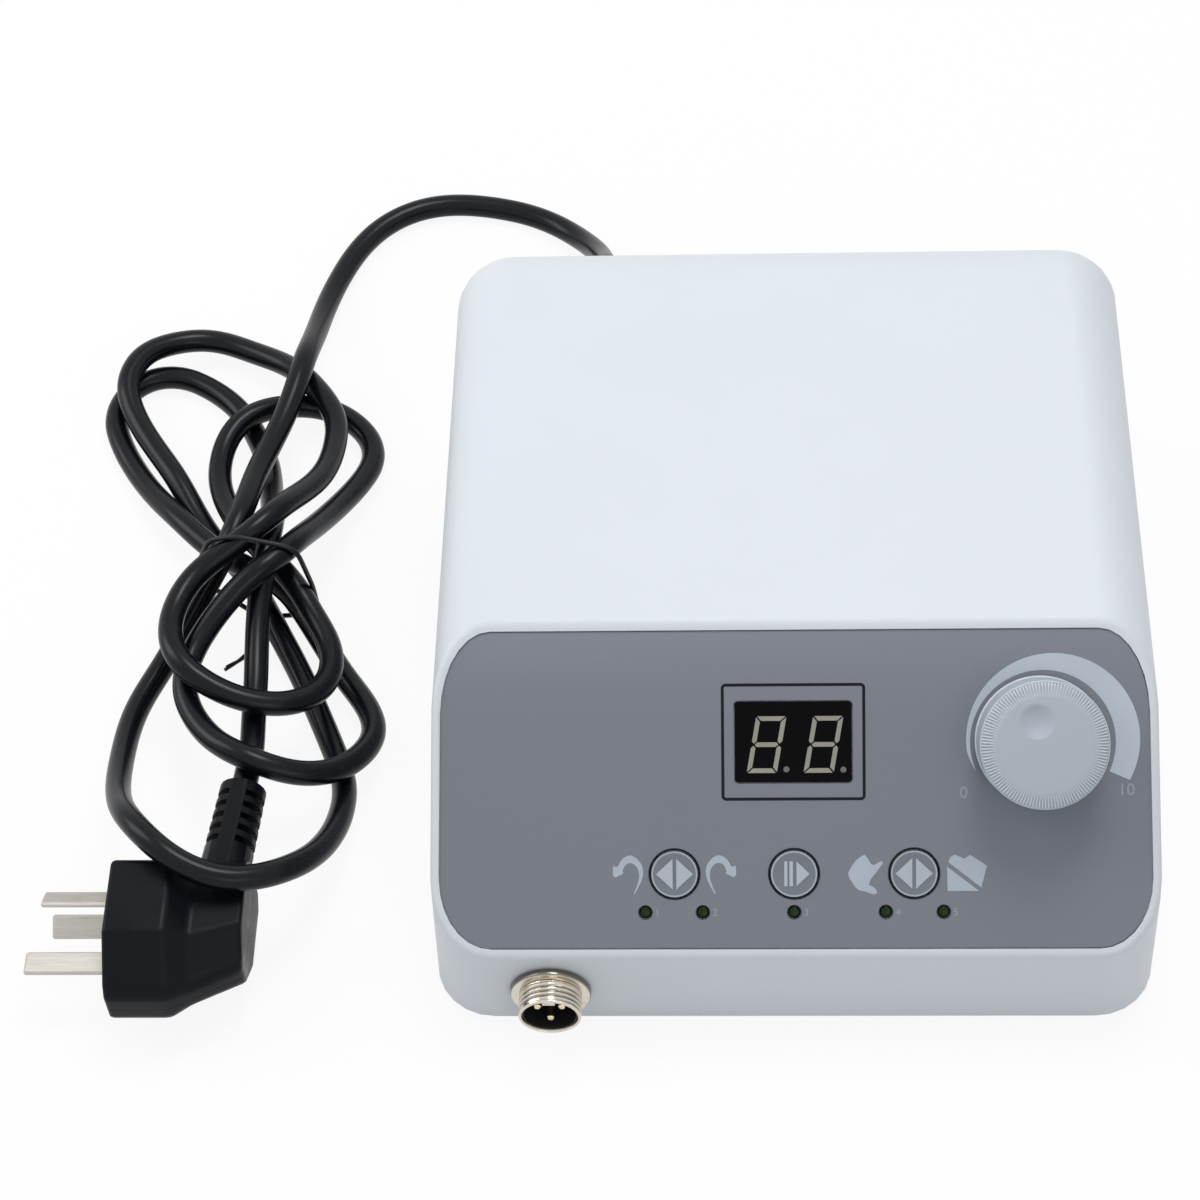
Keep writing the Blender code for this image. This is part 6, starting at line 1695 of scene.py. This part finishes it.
@dataclass
class Knob(Assembly):
    """The speed knob: a disc with a finger dimple, and fine ribs on its shoulder; the ribs and two thin
    rings carry painted highlight.

    The sections are tables of radius and height in millimetres. The crest's third
    column is the share of a rib's full height at that point.
    """

    base_radius: float = 16.0 * MM
    high: float = 15.4 * MM
    disc_radius: float = 12.2 * MM
    disc_range: Point2 = (0.02, 0.96)
    disc_rings: int = 40
    crown: float = 0.3 * MM
    dimple_radius: float = 4.4 * MM
    dimple_offset: float = 6.2 * MM
    dimple_depth: float = 1.2 * MM
    dimple_angle: float = 109.0
    dimple_power: float = 1.25
    sides: int = 120
    body_sharp: float = 40.0
    ring_sharp: float = 50.0
    rib_sharp: float = 30.0
    ribs: int = 120
    rib_height: float = 0.36 * MM
    rib_width: float = 0.25 * MM
    rib_least: float = 0.3
    rib_crest: float = 0.6
    rib_root: float = 0.06 * MM
    rib_sink: float = 0.03 * MM
    rib_spread: float = 0.001
    rib_seed: int = 5
    crest: tuple[Point3, ...] = (
        (12.0, 15.09, 0.0), (12.6, 15.02, 0.25), (13.3, 14.93, 0.6), (14.0, 14.80, 0.9), (14.6, 14.66, 1.0),
        (15.1, 14.46, 1.0), (15.36, 14.28, 0.8), (15.50, 14.12, 0.0), (15.64, 13.86, 0.0))
    skirt: tuple[Point2, ...] = (
        (15.73, 13.3), (15.76, 12.0), (15.78, 8.4), (15.74, 2.0), (15.94, 1.8), (16.0, 1.6),
        (16.0, 1.0), (15.75, 0.6), (13.8, 0.6), (13.4, 12.3), (5.5, 12.3), (5.5, 4.9), (3.3, 4.9),
        (3.3, 12.3), (0.0, 12.3))
    lip: tuple[Point2, ...] = ((15.70, 2.06), (15.90, 1.90), (16.04, 1.6), (16.04, 1.1), (15.70, 1.1))
    edge: tuple[Point2, ...] = (
        (15.50, 14.00), (15.54, 14.11), (15.64, 13.96), (15.73, 13.78), (15.76, 13.55), (15.60, 13.50))

    def build(self) -> None:
        """Builds the disc with its skirt, then the ribs and two thin rings in a lighter painted highlight,
        all riding the knob's body.
        """
        matrix = Site.SLOPE.value.moved(*KNOB_UV)
        self.make("speed_knob_body", self._body(), matrix, Look.KNOB, Body.KNOB, self.body_sharp,
                  ("speed_knob",))
        ribs = Repeater().run("speed_knob_flutes", self._rib(), Look.KNOB_RIB, matrix, Count=self.ribs,
                              Turn=FULL_TURN / self.ribs, Spread=self.rib_spread, Seed=self.rib_seed)
        self.add("speed_knob_flutes", ribs, Look.KNOB_RIB, Body.KNOB)
        # Two thin rings at the base and the top edge that carry the painted highlight.
        for name, section in (("speed_knob_lip_highlight", self.lip), ("speed_knob_edge_highlight", self.edge)):
            ring = Solid().lathe(millimetres(section), self.sides, closed=True)
            self.make(name, ring, matrix, Look.KNOB_RIB, Body.KNOB, self.ring_sharp)

    def _height(self, across: float, up: float) -> float:
        """The disc's height at a point, with its crown and its dimple."""
        radius = math.hypot(across, up)
        height = self.high - self.crown * (radius / self.disc_radius) ** 2
        angle = math.radians(self.dimple_angle)
        away = math.hypot(across - self.dimple_offset * math.cos(angle),
                          up - self.dimple_offset * math.sin(angle))
        share = min(1.0, away / self.dimple_radius)
        return height - self.dimple_depth * (1 - share ** 2) ** self.dimple_power

    def _shoulder(self) -> list[tuple[Vector, Vector, float]]:
        """The shoulder as points on the ribs' crests, ways out of it and shares of a rib's height."""
        points = [Vector((radius, 0, height)) * MM for radius, height, _ in self.crest]
        line = []
        for index, point in enumerate(points):
            way = points[min(index + 1, len(points) - 1)] - points[max(index - 1, 0)]
            line.append((point, Vector((-way.z, 0, way.x)).normalized(), self.crest[index][2]))
        return line

    def _body(self) -> Solid:
        """The knob without its ribs."""
        solid = Solid()
        rings = []
        for share in np.linspace(*self.disc_range, self.disc_rings):
            points = circle(self.disc_radius * share, self.sides)
            rings.append(solid.loop((x, y, self._height(x, y)) for x, y in points))
        sunk = [point - out * (self.rib_height * share) for point, out, share in self._shoulder()]
        for radius, height in [(point.x, point.z) for point in sunk] + millimetres(self.skirt):
            rings.append(solid.loop((x, y, height) for x, y in circle(radius, self.sides)))
        solid.cap(rings[0])
        for lower, upper in zip(rings, rings[1:]):
            solid.bridge(lower, upper)
        return solid

    def _rib(self) -> bpy.types.Mesh:
        """One rib, which rises on the disc's shoulder and ends before the edge."""
        solid = Solid()
        loops = []
        for point, out, share in self._shoulder():
            base = point - out * (self.rib_height * share + self.rib_root)
            crest = point - out * (self.rib_sink * (1 - share))
            width = self.rib_width * (self.rib_least + (1 - self.rib_least) * share)
            side = Vector((0, width * point.x / self.base_radius, 0))
            loops.append(solid.loop((base - side, crest - side * self.rib_crest,
                                     crest + side * self.rib_crest, base + side)))
        solid.cap(loops[0])
        solid.cap(loops[-1][::-1])
        for lower, upper in zip(loops, loops[1:]):
            solid.bridge(lower, upper)
        return solid.mesh("rib", sharp=self.rib_sharp)


@dataclass
class MotorSocket(Assembly):
    """The round motor socket: threaded barrel, flange, key tab, insert and three contacts.

    The sections are tables of radius and height in millimetres.
    """

    thread_radius: float = 8.0 * MM
    thread_depth: float = 0.42 * MM
    thread_start: float = 2.25 * MM
    thread_rows: int = 43
    thread_ends: Point2 = (2.2 * MM, 8.1 * MM)
    fade_turns: Point2 = (1.0, 0.6)
    groove_power: float = 0.8
    tolerance: float = 0.01 * MM
    pitch: float = 1.35 * MM
    rows_per_turn: int = 10
    mouth: tuple[Point2, ...] = ((7.0, 8.15), (7.2, 8.4), (7.55, 8.4), (7.85, 8.22))
    flange: tuple[Point2, ...] = (
        (7.7, 2.1), (9.8, 2.1), (10.13, 1.97), (10.25, 1.65), (10.25, 0.5), (10.05, 0.3), (8.0, 0.3),
        (8.0, -9.0), (7.0, -9.0))
    sleeve: tuple[Point2, ...] = ((6.96, 7.7), (6.96, 0.6), (6.66, 0.6), (6.66, 7.7))
    tab_size: Point3 = (3.2 * MM, 1.5 * MM, 6.5 * MM)
    tab_place: Point3 = (0.0, 6.55 * MM, 5.1 * MM)
    sides: int = 96
    sleeve_sides: int = 72
    sharp: float = 50.0

    def build(self) -> None:
        """Builds the barrel with its helical thread, and dresses what it holds."""
        matrix = Site.SOCKET.value.matrix
        barrel = Solid().lathe(self._profile(), self.sides, closed=True, carve=self._carve)
        self.make("motor_socket_barrel", barrel, matrix, Look.NICKEL, sharp=self.sharp,
                  stands_for=("motor_socket",))
        tab = Solid().box(self.tab_size, self.tab_place)
        self.make("motor_socket_key", tab, matrix, Look.NICKEL)
        sleeve = Solid().lathe(millimetres(self.sleeve), self.sleeve_sides, closed=True)
        self.make("socket_sleeve", sleeve, matrix, Look.INSULATOR)
        self.smooth("socket_insert", Look.INSULATOR)
        self.smooth("socket_nut", Look.NICKEL)
        for index in range(1, 4):
            self.smooth(f"contact_pin_{index}", Look.CONTACT)

    def _profile(self) -> list[Point2]:
        """The barrel's section as a closed ring of (radius, height)."""
        thread = [(self.thread_radius, self.thread_start + row * self.pitch / self.rows_per_turn)
                  for row in reversed(range(self.thread_rows))]
        return millimetres(self.mouth) + thread + millimetres(self.flange)

    def _carve(self, angle: float, radius: float, height: float) -> float:
        """Cuts the helical thread into the barrel's outer wall."""
        low, high = self.thread_ends
        if abs(radius - self.thread_radius) > self.tolerance or not low < height < high:
            return radius
        phase = (height / self.pitch - angle / FULL_TURN) % 1.0
        depth = abs(2 * phase - 1) ** self.groove_power
        start, end = (turns * self.pitch for turns in self.fade_turns)
        fade = min(1.0, (height - low) / start, (high - height) / end)
        return radius - self.thread_depth * (1 - depth) * max(fade, 0.0)


@dataclass
class RearFittings(Assembly):
    """What the rear wall holds: the power switch, the fuse holder and the foot control jack."""

    rocker_x: float = 0.056
    pivot: float = 0.3 * MM
    throw: float = -5.0
    slope: float = 10.4
    bar: Point3 = (0.7 * MM, 3.2 * MM, 0.1 * MM)
    ring: Point2 = (1.15 * MM, 1.7 * MM)
    ring_sides: int = 36
    mark_place: Point2 = (3.9 * MM, 2.55 * MM)

    def build(self) -> None:
        """Dresses the fittings and marks the rocker."""
        self.smooth("power_switch_body", Look.INSULATOR)
        self.smooth("power_rocker", Look.ROCKER, Body.ROCKER)
        self.smooth("fuse_holder", Look.INSULATOR)
        self.smooth("fuse_cap", Look.FUSE, Body.FUSE)
        self.smooth("foot_control_jack", Look.INSULATOR)
        self.smooth("jack_nut", Look.NUT)
        hinge = Site.REAR.value.moved(-self.rocker_x, 0.0, self.pivot)
        hinge = hinge @ Matrix.Rotation(math.radians(self.throw), 4, "X")
        half = self.bar[2] / 2
        inner, outer = (circle(radius, self.ring_sides) for radius in self.ring)
        away, rise = self.mark_place
        for name, side, solid in (("rocker_on", 1, Solid().box(self.bar)),
                                  ("rocker_off", -1, Solid().band(outer, inner, -half, half))):
            lean = Matrix.Rotation(side * math.radians(self.slope), 4, "X")
            face = hinge @ Matrix.Translation((0, side * away, rise)) @ lean
            self.make(name, solid, face, Look.ROCKER_MARK, Body.ROCKER)


@dataclass
class Underside(Assembly):
    """The base plate with its four feet and their cross-head screws."""

    feet: tuple[str, ...] = ("front_left", "front_right", "rear_left", "rear_right")
    recess: Point3 = (3.4 * MM, 0.6 * MM, 0.1 * MM)
    recess_rise: float = 0.02 * MM

    def build(self) -> None:
        """Dresses the plate, smooths the feet and screws, and paints each screw's cross as a thin dark inlay
        of painted shade.
        """
        self.dress("base_plate", Look.PLATE)
        # Each cross is a thin dark inlay, painted shade where the recess would be.
        arm = Solid().box(self.recess).mesh("recess_arm")
        repeater = Repeater()
        for foot in self.feet:
            self.smooth(foot + "_foot", Look.FOOT)
            self.smooth(foot + "_screw", Look.STEEL)
            low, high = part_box(foot + "_screw")
            place = Vector(((low.x + high.x) / 2, (low.y + high.y) / 2, low.z + self.recess_rise))
            cross = repeater.run(foot + "_screw_cross_shade", arm, Look.RECESS, Matrix.Translation(place),
                                 Count=2, Turn=FULL_TURN / 4)
            self.add(foot + "_screw_cross_shade", cross, Look.RECESS)


@dataclass
class Electronics(Assembly):
    """What the housing hides: boards, transformer, digit modules and the potentiometer."""

    def build(self) -> None:
        """Dresses the hidden pieces."""
        for node in ("control_board", "power_board"):
            self.dress(node, Look.BOARD)
        for node in ("digit_module_1", "digit_module_2", "key_switch_1", "key_switch_2",
                     "key_switch_3", "relay"):
            self.dress(node, Look.MODULE)
        self.dress("transformer_core", Look.CORE)
        self.smooth("transformer_winding", Look.WINDING)
        self.smooth("smoothing_capacitor", Look.CAPACITOR)
        self.dress("heat_sink", Look.ALUMINIUM)
        self.smooth("potentiometer", Look.STEEL)
        self.smooth("potentiometer_shaft", Look.ALUMINIUM, Body.KNOB)
        self.smooth("potentiometer_nut", Look.BRASS)


@dataclass
class Viewpoint:
    """The photo's camera."""

    location: Point3 = (-0.012473, -0.473062, 0.685319)
    up: Point3 = (0.00740, 0.80336, 0.59544)
    forward: Point3 = (-0.04711, 0.59508, -0.80229)
    lens: float = 90.17
    sensor: float = 36.0
    clip: Point2 = (0.01, 10.0)

    def build(self) -> None:
        """Makes the camera and sets it as the scene's."""
        data = bpy.data.cameras.new("viewpoint")
        data.lens = self.lens
        data.sensor_width = self.sensor
        data.clip_start, data.clip_end = self.clip
        camera = linked("viewpoint", data)
        forward = Vector(self.forward).normalized()
        right = forward.cross(Vector(self.up)).normalized()
        up = right.cross(forward)
        turn = Matrix((right, up, -forward)).transposed().to_4x4()
        camera.matrix_world = Matrix.Translation(self.location) @ turn
        bpy.context.scene.camera = camera


@dataclass(frozen=True)
class Softbox:
    """One soft area lamp that faces a point."""

    name: str
    place: Point3
    size: Point2
    power: float
    target: Point3 = (-0.02, 0.0, 0.03)

    def build(self) -> None:
        """Makes the lamp."""
        data = bpy.data.lights.new(self.name, "AREA")
        data.shape = "RECTANGLE"
        data.size, data.size_y = self.size
        data.energy = self.power
        lamp = linked(self.name, data)
        lamp.location = self.place
        lamp.rotation_mode = "QUATERNION"
        lamp.rotation_quaternion = (Vector(self.target) - Vector(self.place)).to_track_quat("-Z", "Y")


@dataclass
class Studio:
    """A pale floor, a white surround and soft lamps."""

    ambient: float = 0.70
    horizon: Color = (0.30, 0.31, 0.33)
    zenith: Color = (0.98, 0.99, 1.0)
    zenith_rise: float = 0.75
    matt: Color = (0.84, 0.84, 0.84)
    floor_size: float = 6.0
    floor_glow: float = 0.90
    lamps: tuple[Softbox, ...] = (
        Softbox("top_softbox", (0.12, 0.38, 1.30), (0.5, 0.5), 7.1),
        Softbox("front_softbox", (0.50, -1.20, 0.90), (0.8, 0.5), 1.6),
        Softbox("left_softbox", (-1.10, 0.25, 0.75), (0.5, 0.9), 5.0),
    )

    def build(self) -> None:
        """Makes the lamps, the surround and the floor."""
        bpy.context.scene.view_settings.view_transform = "Standard"
        for lamp in self.lamps:
            lamp.build()
        self._build_surround()
        self._build_floor()

    @staticmethod
    def _seen(graph: Graph) -> Value:
        """1 for rays from the camera, or off or through a shiny surface."""
        camera, shiny, through = (graph.add("ShaderNodeLightPath", output=f"Is {kind} Ray")
                                  for kind in ("Camera", "Glossy", "Transmission"))
        return camera.at_least(shiny).at_least(through)

    def _build_surround(self) -> None:
        """White to the camera, and for the rest a soft light that dims toward the horizon."""
        world = bpy.data.worlds.new("surround")
        world.use_nodes = True
        world.node_tree.nodes.clear()
        graph = Graph(world.node_tree)
        way = graph.add("ShaderNodeTexCoord", output="Generated")
        rise = graph.add("ShaderNodeSeparateXYZ", {}, {0: way}, "Z")
        color = graph.mix(rise.ramp(0.0, self.zenith_rise), self.horizon, self.zenith)
        light = graph.add("ShaderNodeBackground", {}, {"Color": color, "Strength": self.ambient})
        white = graph.add("ShaderNodeBackground", {}, {"Color": WHITE, "Strength": 1.0})
        mixed = graph.add("ShaderNodeMixShader", {}, {0: self._seen(graph), 1: light, 2: white})
        graph.end("ShaderNodeOutputWorld", mixed)
        bpy.context.scene.world = world

    def _build_floor(self) -> None:
        """A pale floor that keeps a faint shadow and is otherwise white to the camera."""
        half = self.floor_size / 2
        square = [(-half, -half, 0), (half, -half, 0), (half, half, 0), (-half, half, 0)]
        mesh = bpy.data.meshes.new("studio_floor")
        mesh.from_pydata(square, [], [(0, 1, 2, 3)])
        material = bpy.data.materials.new("studio_floor")
        material.use_nodes = True
        material.node_tree.nodes.clear()
        graph = Graph(material.node_tree)
        matt = graph.add("ShaderNodeBsdfDiffuse", {}, {"Color": self.matt})
        glow = graph.add("ShaderNodeEmission", {}, {"Color": WHITE, "Strength": 1.0})
        share = self._seen(graph) * self.floor_glow
        mixed = graph.add("ShaderNodeMixShader", {}, {0: share, 1: matt, 2: glow})
        graph.end("ShaderNodeOutputMaterial", mixed)
        mesh.materials.append(material)
        linked("studio_floor", mesh)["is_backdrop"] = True


def clear_startup() -> None:
    """Removes the lamp, camera and cube that Blender starts with."""
    kept = set(frame["nodes"].values())
    for thing in list(bpy.data.objects):
        if thing.type in ("CAMERA", "LIGHT") or (thing.name == "Cube" and thing not in kept):
            bpy.data.objects.remove(thing, do_unlink=True)


def corners() -> list[list[float]]:
    """The shown object's lowest and highest corner as plain lists."""
    return [[float(part) for part in corner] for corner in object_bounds()]


def main() -> None:
    """Builds the camera and cord first, then the rest of the unit and the studio."""
    clear_startup()
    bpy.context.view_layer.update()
    Viewpoint().build()
    cord, plug = Cord(), Plug()
    groups = (cord, plug, Housing(), Panel(), Keys(), Lamps(), Knob(), MotorSocket(), RearFittings(),
              Underside(), Electronics())
    for group in groups:
        group.build()
    cord.declare(plug)
    Studio().build()


if __name__ == "__main__":
    main()
